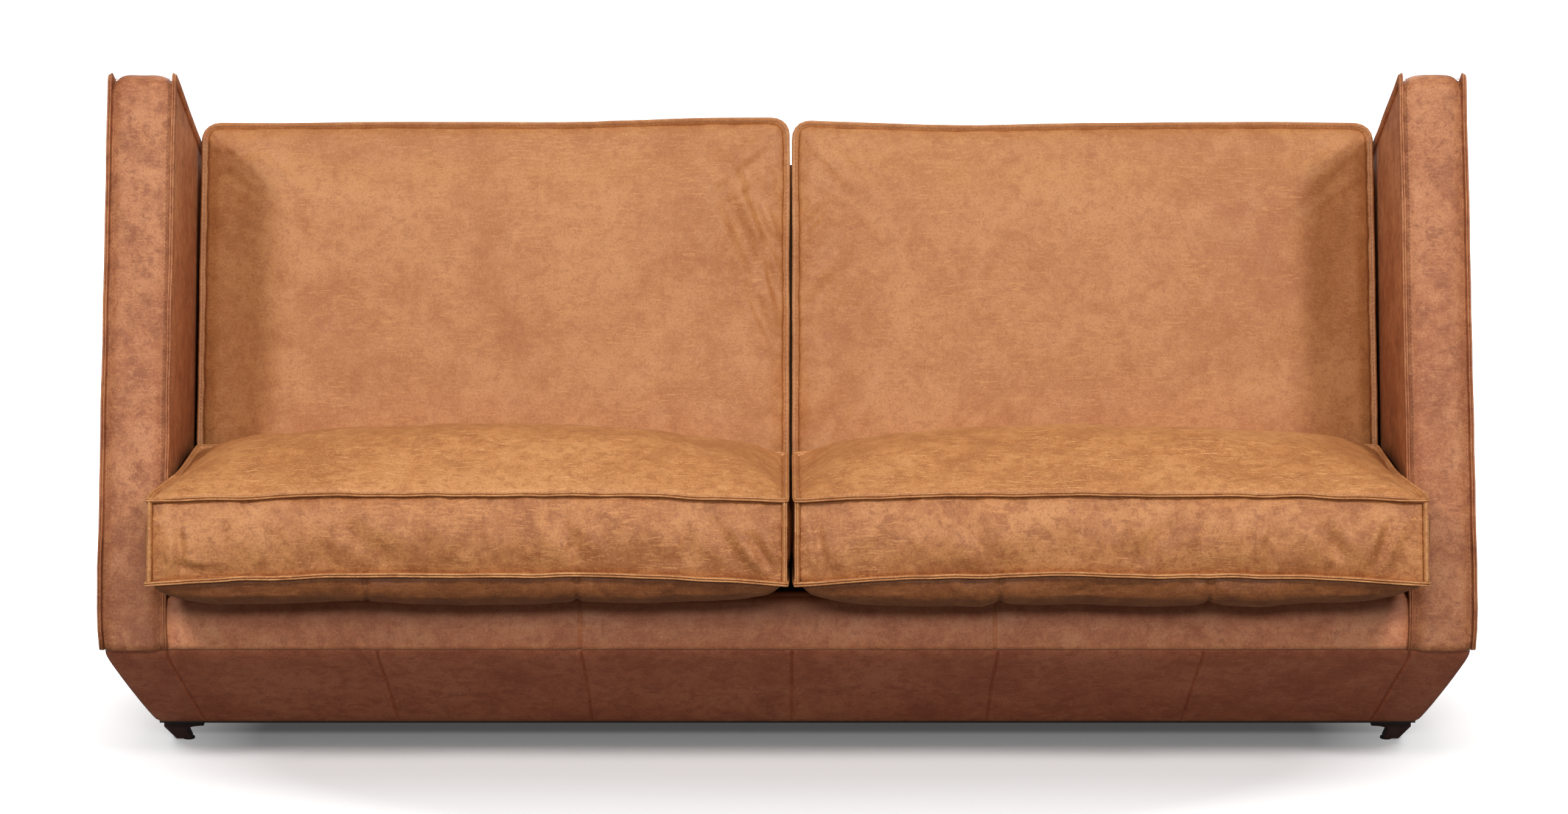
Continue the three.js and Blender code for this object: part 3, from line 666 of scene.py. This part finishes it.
# Rows up the base and down its hidden side: height share and how far inside the flat face the skin lies.
BASE_ROWS = [(-0.004, 0.030), (-0.003, 0.012), (0.010, 0.0035), (0.030, 0.0008), (0.06, 0.0), (0.14, -0.001),
             (0.25, -0.0018), (0.38, -0.0022), (0.5, -0.0025), (0.62, -0.0025), (0.74, -0.0022),
             (0.83, -0.0018), (0.89, -0.0010), (0.93, 0.0002), (0.96, 0.0018), (0.982, 0.0038),
             (0.995, 0.0065), (0.998, 0.012), (0.99, 0.016), (0.5, 0.010), (0.02, 0.012)]


def base_point(side, share, up, inside):
    """A point of the base's skin, at a station of the plan and a row of the height."""
    t = 1 - up
    x = HALF_WIDTH - TUCK_SIDE * t - inside
    y0 = FRONT_SEAM[0] + TUCK_FRONT * t + inside
    y1 = REAR_FOOT[0] - TUCK_REAR * t - inside
    z = BASE_LOW + (SEAM_Z - BASE_LOW) * max(up, 0.0) - (0.0002 if up < 0 else 0)
    r = BASE_CORNER
    a = share * math.pi / 2
    if side == "front":
        sag = 0.010 * math.sin(math.pi * up) * (1 if share > 0 else -1) if abs(share) > 0.05 else 0
        near = min(abs(share - f) for f in SEAM_SHARES) * HALF_WIDTH
        dip = 0.0036 * math.exp(-(near / 0.0017) ** 2)
        dip -= 0.0016 * math.exp(-((near - 0.0055) / 0.0030) ** 2)
        roll = 0.0010 * noise.noise(Vector((share * 7, up * 3, 9.0)))
        lean = 1 + 0.026 * t * (1 - share ** 8)
        return Vector((share * x * lean - sag * 0.35, y0 + (dip + roll if 0.02 < up < 0.98 else 0), z))
    if side == "rear":
        return Vector((share * x, y1, z))
    sign = -1 if side in ("left", "corner_rl", "corner_fl") else 1
    if side in ("right", "left"):
        return Vector((sign * x, (y0 + y1) / 2 + share * (y1 - y0) / 2, z))
    over, ahead = math.sin(a), math.cos(a)
    if side in ("corner_rr", "corner_fl"):
        over, ahead = ahead, over
    y = y0 + r - r * ahead if side in ("corner_fr", "corner_fl") else y1 - r + r * ahead
    return Vector((sign * (x - r + r * over), y, z))


def make_base():
    """The skin of the base: one closed band with rounded lower edges, a wall thick."""
    plan = base_plan()

    def place(i, j):
        return base_point(*plan[i], *BASE_ROWS[j])

    bm = swept(place, len(plan), len(BASE_ROWS), closed_long=True)
    base = new_piece("base_leather_skin", bm, "frame", base_hide)
    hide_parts(*[f"base_cover_{s}" for s in ("front", "rear", "left", "right")])


make_base()


def make_outer_back():
    """The leather over the top and down the rear of the back frame."""
    low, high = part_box("back_cover_outer")
    top_front = (low.y - 0.004, high.z)
    rear_top = (ARM_TAIL[0] - 0.0005, high.z - TOP_FALL * (ARM_TAIL[0] - top_front[0]))
    foot = (REAR_FOOT[0], SEAM_Z + 0.001)
    thick = 0.006
    inner_top = (rear_top[0] - thick - 0.001, rear_top[1] - thick * 1.5)
    outline = [top_front, rear_top, foot, (foot[0] - thick, foot[1]), inner_top,
               (top_front[0] + 0.003, top_front[1] - thick * 1.2)]
    bm = slab(outline, [0.002, 0.014, 0, 0, 0.008, 0], -ARM_INNER + 0.001, ARM_INNER - 0.001, 0.002, 0.0)
    piece = new_piece("outer_back_leather", bm, "frame", arm_hide)
    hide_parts("back_cover_outer")


make_outer_back()


LEG_FLOOR, LEG_TOP = 0.0029, 0.0416
KNEE, SHOULDER_RISE = 0.0170, 0.0068  # where the inner side begins to curve out, and over what height


def make_leg(side, end):
    """A tapered square leg, slanting in from the corner outside and curving out to a shoulder inside."""
    word = "left" if side < 0 else "right"
    middle = sum(c.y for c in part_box(f"leg_{end}_{word}")) / 2
    heights = [LEG_FLOOR, 0.0060, 0.0100, 0.0140, KNEE]
    heights += [KNEE + SHOULDER_RISE * math.sin(math.pi / 2 * k / 8) for k in range(1, 9)] + [0.0300, LEG_TOP]

    def place(i, j):
        z = heights[i]
        x = 0.9290 + 0.0205 * min(1, z / 0.0225)
        if j in (1, 2):
            x = 0.9080 + 0.0075 * min(1, z / KNEE)
            if z > KNEE:
                x -= 0.0260 * (1 - math.sqrt(max(0, 1 - min(1, (z - KNEE) / SHOULDER_RISE) ** 2)))
        half = 0.0120 + 0.0050 * z / BASE_LOW
        return Vector((side * x, middle + (half if j > 1 else -half), z))

    bm = swept(place, len(heights) - 1, 4)
    uprights = [e for e in bm.edges if abs(e.verts[0].co.z - e.verts[1].co.z) > 1e-5]
    bmesh.ops.bevel(bm, geom=uprights, offset=0.0009, segments=2, affect="EDGES")
    leg = new_piece(f"tapered_leg_{end}_{word}", bm, "frame", leg_wood, smooth=False)
    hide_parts(f"leg_{end}_{word}")


for side in (-1, 1):
    for end in ("front", "rear"):
        make_leg(side, end)

# ------------------------------------------------------------------ cushions

CUSHION_HALF = 0.45375  # half the width of a cushion's space
CUSHION_X = 0.0015 + CUSHION_HALF
SEAT_MIDDLE = (-0.2053, 0.3777)
SEAT_LEAN, SEAT_FALL = 0.322, 0.061
BACK_MIDDLE = (0.1142, 0.5852)
BACK_COS = 1 / math.hypot(1, BACK_RAKE)
BACK_SIN = BACK_RAKE * BACK_COS
VOXEL = 0.0068
SEAM_PITCH = 0.007
FRAMES = 20


def round_plan(x, y, half_x, half_y, r):
    """Bend the corners of a rectangular plan round."""
    dx, dy = abs(x) - (half_x - r), abs(y) - (half_y - r)
    if dx <= 0 or dy <= 0:
        return x, y
    keep = max(dx, dy) / math.hypot(dx, dy)
    return (math.copysign(half_x - r + dx * keep, x), math.copysign(half_y - r + dy * keep, y))


def out_of_plan(x, y, half_x, half_y, r):
    """Which way is out at the rim of a plan, turning within r of its corners."""
    ax, ay = max(0.0, abs(x) - (half_x - r)) / r, max(0.0, abs(y) - (half_y - r)) / r
    ax, ay = (ax, ay) if ax + ay > 0 else (0, 1)
    return Vector((math.copysign(ax, x), math.copysign(ay, y))).normalized()


def dome(t, power):
    """One in the middle, nothing at either end; a high power is flatter between."""
    return max(0.0, 1 - abs(t) ** power)


def rows_of(mesh, kind):
    """The places ("co") or normals of all of a mesh's points, a row each."""
    rows = np.empty(len(mesh.vertices) * 3)
    mesh.vertices.foreach_get(kind, rows)
    return rows.reshape(-1, 3)


def move_to(mesh, rows):
    mesh.vertices.foreach_set("co", rows.ravel())
    mesh.update()


class Cushion:
    """A stuffed cover: form gives the sewn shape, seams are drawn on it, and the stuffing swells it."""

    def __init__(self, name, side, seed):
        self.name, self.side, self.seed = name, side, seed

    def seam_points(self, route, closed, steps=120):
        """Points along a route of (u, v, w) corners on the sewn form, evenly spaced."""
        corners = route + route[:1] if closed else route
        pts = []
        for a, b in zip(corners[:-1], corners[1:]):
            for k in range(steps):
                t = k / steps
                pts.append(self.form(*(p + (q - p) * t for p, q in zip(a, b))))
        if not closed:
            pts.append(self.form(*corners[-1]))
        ring, run = walk([p[:] for p in pts], closed)
        at = np.linspace(0, run[-1], max(8, int(run[-1] / SEAM_PITCH)) + 1)
        return read_on(at[:-1] if closed else at, run, ring)

    def sew(self):
        """The sewn form as a fine closed mesh."""
        bm = bmesh.new()
        bmesh.ops.create_cube(bm, size=2)
        bmesh.ops.subdivide_edges(bm, edges=bm.edges[:], cuts=46, use_grid_fill=True)
        for v in bm.verts:
            v.co = self.form(*v.co)
        bmesh.ops.recalc_face_normals(bm, faces=bm.faces)
        obj = put_in_scene(self.name + "_sewn", as_mesh(self.name + "_sewn", bm))
        remesh = obj.modifiers.new("skin", "REMESH")
        remesh.mode = "VOXEL"
        remesh.voxel_size = VOXEL
        return self.settle(obj, "sewn_skin")

    def settle(self, obj, name):
        """Replace an object by its finished mesh."""
        dg = bpy.context.evaluated_depsgraph_get()
        mesh = bpy.data.meshes.new_from_object(obj.evaluated_get(dg))
        mesh.name = name
        bpy.data.objects.remove(obj)
        return put_in_scene(name, mesh)

    def blow(self, obj, start, far):
        """The shift of every point under cloth pressure, held at the seams."""
        pins = obj.vertex_groups.new(name="seams")
        for i, d in enumerate(far):
            hold = max(0.0, 1 - d / 0.012)
            if hold > 0:
                pins.add([i], hold, "REPLACE")
        cloth = obj.modifiers.new("stuffing", "CLOTH")
        s = cloth.settings
        for name, value in (("quality", 6), ("mass", 0.5), ("tension_stiffness", 12),
                            ("compression_stiffness", 12), ("shear_stiffness", 6), ("bending_stiffness", 0.6),
                            ("use_pressure", True), ("uniform_pressure_force", 4.0),
                            ("shrink_min", self.slack), ("vertex_group_mass", "seams")):
            setattr(s, name, value)
        s.effector_weights.gravity = 0
        cloth.collision_settings.use_collision = False
        cloth.point_cache.frame_start, cloth.point_cache.frame_end = 1, FRAMES
        scene = bpy.context.scene
        for f in range(1, FRAMES + 1):
            scene.frame_set(f)
        dg = bpy.context.evaluated_depsgraph_get()
        swollen = bpy.data.meshes.new_from_object(obj.evaluated_get(dg))
        moved = rows_of(swollen, "co")
        bpy.data.meshes.remove(swollen)
        obj.modifiers.clear()
        obj.vertex_groups.clear()
        scene.frame_set(1)
        return moved - start

    def stuff(self, obj, seam_tree):
        """Blow the cover up, capped between the seams."""
        start, normals = rows_of(obj.data, "co"), rows_of(obj.data, "normal")
        far = np.array([seam_tree.find(p)[2] for p in start])
        most = self.cap(far) * np.where(normals[:, 2] < -0.3, self.under, 1.0)
        shift = self.blow(obj, start, far)
        length = np.linalg.norm(shift, axis=1)
        keep = most * np.tanh(length / np.maximum(most, 1e-6)) / np.maximum(length, 1e-9)
        moved = start + shift * keep[:, None]
        move_to(obj.data, moved)
        return start, moved

    def follow(self, start, moved, points):
        """Carry seam points along with the stuffed skin."""
        tree = nearest_of(start)
        out = []
        for p in points:
            near = tree.find_n(p, 5)
            weights = np.array([1 / (d + 0.002) for _, _, d in near])
            shift = np.array([moved[i] - start[i] for _, i, _ in near])
            out.append(p + (shift * weights[:, None]).sum(0) / weights.sum())
        return np.array(out)

    def dress(self, obj, seams):
        """One finer step, then creases at the seams, puckers beside them and the loose folds."""
        sub = obj.modifiers.new("finer", "SUBSURF")
        sub.levels = sub.render_levels = 1
        obj = self.settle(obj, self.name)
        co, no = rows_of(obj.data, "co"), rows_of(obj.data, "normal")
        samples = [(p, s * SEAM_PITCH + k * 5.3, lip)
                   for k, (pts, _, lip) in enumerate(seams) for s, p in enumerate(pts)]
        tree = nearest_of([p for p, _, _ in samples])
        push = np.zeros(len(co))
        for i in range(len(co)):
            _, k, d = tree.find(co[i])
            loose = self.wander(co[i]) + self.fold_depth(Vector(co[i]), Vector(no[i]))
            if d > 0.075:
                push[i] = loose
                continue
            _, run, lip = samples[k]
            crease = -0.0024 * math.exp(-(d / 0.0045) ** 2) if lip else -0.0056 * math.exp(-(d / 0.0042) ** 2)
            pucker = 0.0
            if lip:
                beat = noise.noise(Vector((run * 30, self.seed, 0.0)))
                beat += 0.5 * noise.noise(Vector((run * 75, 0.0, self.seed)))
                pucker = self.pucker * beat * math.exp(-d / 0.020) * min(1, d / 0.006)
            push[i] = crease + pucker + loose * min(1, d / 0.025)
        move_to(obj.data, co + no * push[:, None])
        return obj

    def wander(self, p):
        """Slow rises and falls of the filling, with the named folds."""
        q = Vector(p)
        rise = self.drift * noise.noise(q * 5.5 + Vector((self.seed, 0, 0)))
        return rise + self.drift * 0.42 * noise.noise(q * 15.0 + Vector((0, self.seed, 0)))

    def fold_depth(self, q, facing):
        """Named creases, each a line on one face: (start, end, width, depth)."""
        total = 0.0
        for a, b, wide, deep in self.folds.get(self.side, ()):
            if facing.dot(self.face) < 0.25:
                return 0.0
            line = b - a
            t = (q - a).dot(line) / line.length_squared
            gap = q - (a + line * max(0.0, min(1.0, t)))
            d = (gap - self.face * gap.dot(self.face)).length
            if d > 4 * wide:
                continue
            fade = math.sin(math.pi * max(0.0, min(1.0, 0.08 + 0.9 * t))) ** 0.7
            rim = 0.75 * math.exp(-((d - 1.7 * wide) / wide) ** 2)
            total += deep * fade * (rim - math.exp(-(d / wide) ** 2))
        return total

    def lay_panels(self, mesh, seams):
        """Covers cut from more than one hide give their other panels theirs here."""

    def make(self):
        """The whole cushion: its cover, its flanges and its thread."""
        seams = [(self.seam_points(route, closed), closed, lip) for route, closed, lip in self.routes()]
        skin = self.sew()
        start, moved = self.stuff(skin, nearest_of([p for pts, _, _ in seams for p in pts]))
        seams = [(self.follow(start, moved, pts), closed, lip) for pts, closed, lip in seams]
        skin = self.dress(skin, seams)
        mesh = skin.data
        bpy.data.objects.remove(skin)
        cover = new_piece(self.name, mesh, self.body, self.finish)
        self.lay_panels(mesh, seams)
        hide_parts(*self.stands_for)
        edges, rows = [], []
        for pts, closed, lip in seams:
            if not lip:
                continue
            out = np.array([self.lip_way(p) for p in pts])
            root = self.root if closed else 0.003
            edges.append(flange(pts, out, lip, self.lip_thick, closed=closed, root=root))
            if not closed:
                continue
            side = unit(np.cross(along(pts, closed), out))
            for way in (-1, 1):
                rows.append((pts + out * lip * 0.45 + side * way * self.lip_thick * 0.5, side * way, closed))
        new_piece(self.name + "_flange", join(edges), self.body, self.finish)
        stitches(self.name + "_thread", rows, self.body, thread)


def fold(x0, y0, z0, x1, z1, wide, deep):
    """A fold on the front border of a seat cushion, from a point down to a place across and up."""
    return Vector((x0, y0, z0)), Vector((x1, -0.43, z1)), wide, deep


class SeatCushion(Cushion):
    slack, pucker, drift, fill = -0.012, 0.0042, 0.0052, 0.75
    lip, lip_thick, root = 0.0075, 0.0062, 0.005
    HALF_X, HALF_Y, BORDER = 0.4460, 0.1960, 0.0570
    CROWN, BELLY = 0.0490, 0.0340
    under = 0.3
    finish = seat_hide
    face = Vector((0, -0.95, 0.31))
    folds = {
        -1: (fold(-0.056, -0.41, 0.404, -0.014, 0.344, 0.0085, 0.0062),
             fold(-0.110, -0.41, 0.425, -0.062, 0.352, 0.012, 0.0034),
             fold(-0.885, -0.43, 0.364, -0.828, 0.349, 0.0075, 0.0034),
             fold(-0.878, -0.41, 0.410, -0.872, 0.350, 0.0070, 0.0040),
             fold(-0.640, -0.43, 0.420, -0.560, 0.360, 0.018, 0.0035),
             fold(-0.330, -0.43, 0.430, -0.290, 0.360, 0.016, 0.0035)),
        1: (fold(0.040, -0.41, 0.425, 0.052, 0.352, 0.0080, 0.0040),
            fold(0.260, -0.42, 0.420, 0.300, 0.355, 0.016, 0.0035),
            fold(0.560, -0.42, 0.430, 0.500, 0.360, 0.018, 0.0038),
            fold(0.870, -0.42, 0.425, 0.845, 0.350, 0.0085, 0.0050),
            fold(0.760, -0.42, 0.430, 0.810, 0.360, 0.012, 0.0036)),
    }

    def cap(self, far):
        return np.clip((far - 0.004) / 0.10, 0, 1) ** 0.6 * 0.020

    def form(self, u, v, w):
        """u across, v front to back, w up; each from -1 to 1."""
        outer = u * self.side > 0
        x, y = u * self.HALF_X + 0.0045 * max(0.0, -u * self.side), v * self.HALF_Y
        # The seams ride up between the front corners, the lower one more.
        lift = (0.0080 + 0.0035 * (1 - w) / 2) * dome(u, 3) * (1 - v) / 2
        z = w * self.BORDER + lift
        if w > 0.9999:
            z += self.CROWN * dome(u, 2) ** 0.5 * dome(v, 2.4) ** 0.6
        elif w < -0.9999:
            full = dome(u, 8) ** 0.5 * dome(v, 6) ** 0.4
            z = z * (1 - full) - (self.BORDER + self.BELLY + 0.008 * max(0.0, -v)) * full
        else:
            bow = 1 - w * w
            if v < -0.9999:
                y -= 0.010 * bow * dome(u, 6)
            if abs(u) > 0.9999:
                ahead = max(0.0, min(1.0, (-v - 0.15) / 0.35))
                x += u * (0.004 + (0.006 * ahead if outer else 0.002)) * bow * dome(v, 12)
        # The front corner stands out beyond the arm; the rear inner corner sits low.
        if outer:
            x += self.side * abs(u) * 0.0200 * max(0.0, min(1.0, (-v + 0.10) / 0.9)) ** 1.5
        else:
            z -= 0.012 * abs(u) ** 4 * max(0.0, v) ** 2
        wander = 0.0036 * noise.noise(Vector((u * 2.6 + self.seed, w, 0)))
        wander += 0.0018 * noise.noise(Vector((u * 9, w, self.seed)))
        z += wander * dome(u, 8)
        y += 0.004 * dome(u, 2) if v < 0 else -0.004 * dome(u, 2) * abs(v)
        y += -0.004 * abs(u) ** 10 * abs(v) ** 10 if v < 0 else 0
        return Vector((self.side * CUSHION_X + x, SEAT_MIDDLE[0] + y + SEAT_LEAN * z,
                       SEAT_MIDDLE[1] - SEAT_FALL * y + z))

    def routes(self):
        rim = lambda w: [(-1, -1, w), (1, -1, w), (1, 1, w), (-1, 1, w)]
        found = [(rim(1), True, self.lip), (rim(-1), True, self.lip)]
        for u, v in ((-1, -1), (1, -1), (1, 1), (-1, 1)):
            found.append(([(u, v, -1), (u, v, 1)], False, 0.0036 if v < 0 else 0))
        for u in (-1 / 3, 1 / 3):
            found.append(([(u, -1, -1), (u, 1, -1)], False, 0))
        return found

    def height(self, p):
        return p[2] - SEAT_MIDDLE[1] + SEAT_FALL * (p[1] - SEAT_MIDDLE[0])

    def lay_panels(self, mesh, seams):
        """The border takes a slightly darker leather than the top; the underside is painted much darker, as
        painted shade for the shadow beneath the cushion.
        """
        for hide_of_panel in (border_hide, belly_painted_shade_hide):
            mesh.materials.append(hide_of_panel)
        rims = [nearest_of(pts) for pts, _, _ in seams[:2]]
        for face in mesh.polygons:
            here = self.height(face.center)
            if here < self.height(rims[1].find(face.center)[0]):
                face.material_index = 2
            elif here < self.height(rims[0].find(face.center)[0]):
                face.material_index = 1

    def lip_way(self, p):
        """Which way the flange stands: out from the cushion, and a little up on the top seam."""
        lx = p[0] - self.side * CUSHION_X
        lz = self.height(p)
        ly = p[1] - SEAT_MIDDLE[0] - SEAT_LEAN * lz
        way = out_of_plan(lx, ly, self.HALF_X, self.HALF_Y, 0.022)
        front = max(0.0, -way.y)
        up = 0.75 - 0.45 * front if lz > 0 else -0.12 + 0.20 * front
        return Vector((way.x, way.y, up)).normalized()


class BackCushion(Cushion):
    slack, pucker, drift, fill = 0.0, 0.0026, 0.0036, 0.55
    lip, lip_thick, root = 0.0080, 0.0054, 0.010
    HALF_X, HALF_V, BORDER, CORNER = 0.4440, 0.3225, 0.0050, 0.020
    under = 1.0
    finish = back_hide
    face = Vector((0, -BACK_COS, BACK_SIN))

    def cap(self, far):
        return np.clip((far - 0.003) / 0.12, 0, 1) ** 0.7 * 0.013

    def form(self, u, v, w):
        """u across, v up the lean, w forwards."""
        x, y = round_plan(u * self.HALF_X, v * self.HALF_V, self.HALF_X, self.HALF_V, self.CORNER)
        n = w * self.BORDER
        if w > 0.9999:
            n += 0.0220 * (dome(u, 10) * dome(v, 9)) ** 0.55 + 0.003 * dome(u, 2) * dome(v, 2)
        elif w < -0.9999:
            n -= 0.022 * dome(u, 3) * dome(v, 3)
        y += 0.0030 * noise.noise(Vector((u * 2.2, self.seed, 1.0))) * abs(v)
        # The inner edges close up towards the top.
        inner = max(0.0, -u * self.side)
        x += inner * (0.0068 + 0.0008 * v if self.side < 0 else 0.0034)
        x += self.side * 0.0042 * max(0.0, u * self.side)
        x += 0.0008 * noise.noise(Vector((self.seed, v * 4, 2.0))) * abs(u)
        y -= 0.003 * dome(u, 2) * v
        if self.side < 0:
            y += 0.0040 * u * max(0.0, v)
        else:
            y -= (0.0060 * math.exp(-((u + 0.5) / 0.42) ** 2) + 0.0040 * max(0.0, u)) * max(0.0, v)
        return self.on_lean(self.side * CUSHION_X + x, y, n)

    @staticmethod
    def on_lean(x, y, n):
        """A point from its place across, up the lean and forwards."""
        return Vector((x, BACK_MIDDLE[0] + y * BACK_SIN - n * BACK_COS,
                       BACK_MIDDLE[1] + y * BACK_COS + n * BACK_SIN))

    def routes(self):
        return [([(-1, -1, 0), (1, -1, 0), (1, 1, 0), (-1, 1, 0)], True, self.lip)]

    def lip_way(self, p):
        lx = p[0] - self.side * CUSHION_X
        lv = (p[1] - BACK_MIDDLE[0]) * BACK_SIN + (p[2] - BACK_MIDDLE[1]) * BACK_COS
        way = out_of_plan(lx, lv, self.HALF_X, self.HALF_V, self.CORNER)
        n = 0.45  # and forwards
        return Vector((way.x, way.y * BACK_SIN - n * BACK_COS, way.y * BACK_COS + n * BACK_SIN)).normalized()


def crease(x0, down0, x1, down1, wide, deep):
    """A crease on a back cushion, from and to a place across and a distance down from its top."""
    lean = lambda x, down: BackCushion.on_lean(x, BackCushion.HALF_V - down, 0.03)
    return lean(x0, down0), lean(x1, down1), wide, deep


BackCushion.folds = {
    -1: (crease(-0.105, 0.105, -0.030, 0.262, 0.0140, 0.0045),
         crease(-0.062, 0.110, -0.010, 0.225, 0.0085, 0.0050),
         crease(-0.040, 0.185, -0.010, 0.290, 0.0070, 0.0042),
         crease(-0.085, 0.045, -0.018, 0.150, 0.0130, 0.0035),
         crease(-0.060, 0.255, -0.016, 0.360, 0.0095, 0.0034),
         crease(-0.880, 0.060, -0.820, 0.045, 0.0100, 0.0025)),
    1: (crease(0.060, 0.130, 0.020, 0.175, 0.0090, 0.0032),
        crease(0.085, 0.230, 0.022, 0.300, 0.0120, 0.0030),
        crease(0.130, 0.380, 0.030, 0.520, 0.0200, 0.0040)),
}

for side, word in ((-1, "left"), (1, "right")):
    seat = SeatCushion(f"seat_cushion_{word}_leather", side, 11.3 if side < 0 else 27.9)
    seat.body, seat.stands_for = f"seat_cushion_{word}", (f"seat_cover_{word}", f"seat_foam_{word}")
    seat.make()
    back = BackCushion(f"back_cushion_{word}_leather", side, 3.7 if side < 0 else 41.2)
    back.body = f"back_cushion_{word}"
    back.stands_for = (f"back_cushion_cover_{word}", f"back_cushion_foam_{word}")
    back.make()

# ------------------------------------------------------------------ camera, light and floor

bpy.context.scene.view_settings.view_transform = "Standard"
PITCH = math.radians(14.0)
BACK_OFF, CAMERA_UP = 6.150, 1.9014  # from the front seam
camera_data = bpy.data.cameras.new("camera")
camera_data.lens = 100.4
camera_data.sensor_width = 36.0
camera_data.clip_end = 100
camera = put_in_scene("camera", camera_data)
camera.location = (-0.0053, FRONT_SEAM[0] - BACK_OFF, SEAM_Z + CAMERA_UP)
camera.rotation_euler = (math.pi / 2 - PITCH, 0, 0)
bpy.context.scene.camera = camera


def pale_floor():
    """White paper that burns out away from the sofa, and throws little light back up under it."""
    bm = bmesh.new()
    bmesh.ops.create_grid(bm, x_segments=1, y_segments=1, size=30)
    floor = put_in_scene("floor", as_mesh("floor", bm))
    material, w, shader = fresh_finish("white_paper")
    seen = w.put("ShaderNodeLightPath").outputs["Is Camera Ray"]
    w.wire(w.mix(seen, (0.22, 0.22, 0.22, 1), (0.98, 0.98, 0.98, 1)), shader, "Base Color")
    place = w.place(Location=(0, 0.12, 0), Scale=(0.62, 1.15, 1))
    away = w.put("ShaderNodeVectorMath", {0: place}, operation="LENGTH").outputs["Value"]
    glow = w.band(away, 0.50, 0.88, 0.06, 1.0)
    w.wire(w.sum("MULTIPLY", glow, seen), shader, "Emission Strength")
    shader.inputs["Emission Color"].default_value = (1, 1, 1, 1)
    shader.inputs["Roughness"].default_value = 0.9
    shader.inputs["Specular IOR Level"].default_value = 0.1
    floor.data.materials.append(material)


pale_floor()


def softbox(name, place, aim, wide, tall, watts):
    """A lamp the size of its cloth front, turned to face a point."""
    data = bpy.data.lights.new(name, "AREA")
    data.shape = "RECTANGLE"
    data.size, data.size_y = wide, tall
    data.energy = watts
    lamp = put_in_scene(name, data)
    lamp.location = place
    lamp.rotation_euler = (Vector(aim) - Vector(place)).to_track_quat("-Z", "Y").to_euler()


softbox("left_softbox", (-3.0, -3.2, 4.3), (0, 0, 0.5), 0.8, 0.8, 105)
softbox("right_softbox", (3.0, -3.2, 4.3), (0, 0, 0.5), 0.8, 0.8, 111)
softbox("front_softbox", (0, -6.6, 3.5), (0, 0, 0.5), 3.0, 0.9, 112)
softbox("top_softbox", (0, -0.8, 4.2), (0, -0.1, 0.5), 3.0, 2.0, 32)
softbox("rear_softbox", (0, 5.0, 3.0), (0, 0.3, 0.4), 3.0, 1.5, 60)


def white_world():
    """White to look at, and a soft weak light from all round."""
    world = bpy.data.worlds.new("white_studio")
    bpy.context.scene.world = world
    world.use_nodes = True
    sky = world.node_tree.nodes["Background"]
    sky.inputs["Color"].default_value = (1, 1, 1, 1)
    w = Wiring(world.node_tree)
    seen = w.put("ShaderNodeLightPath").outputs["Is Camera Ray"]
    w.wire(w.band(seen, 0.0, 1.0, 0.24, 1.0), sky, "Strength")


white_world()
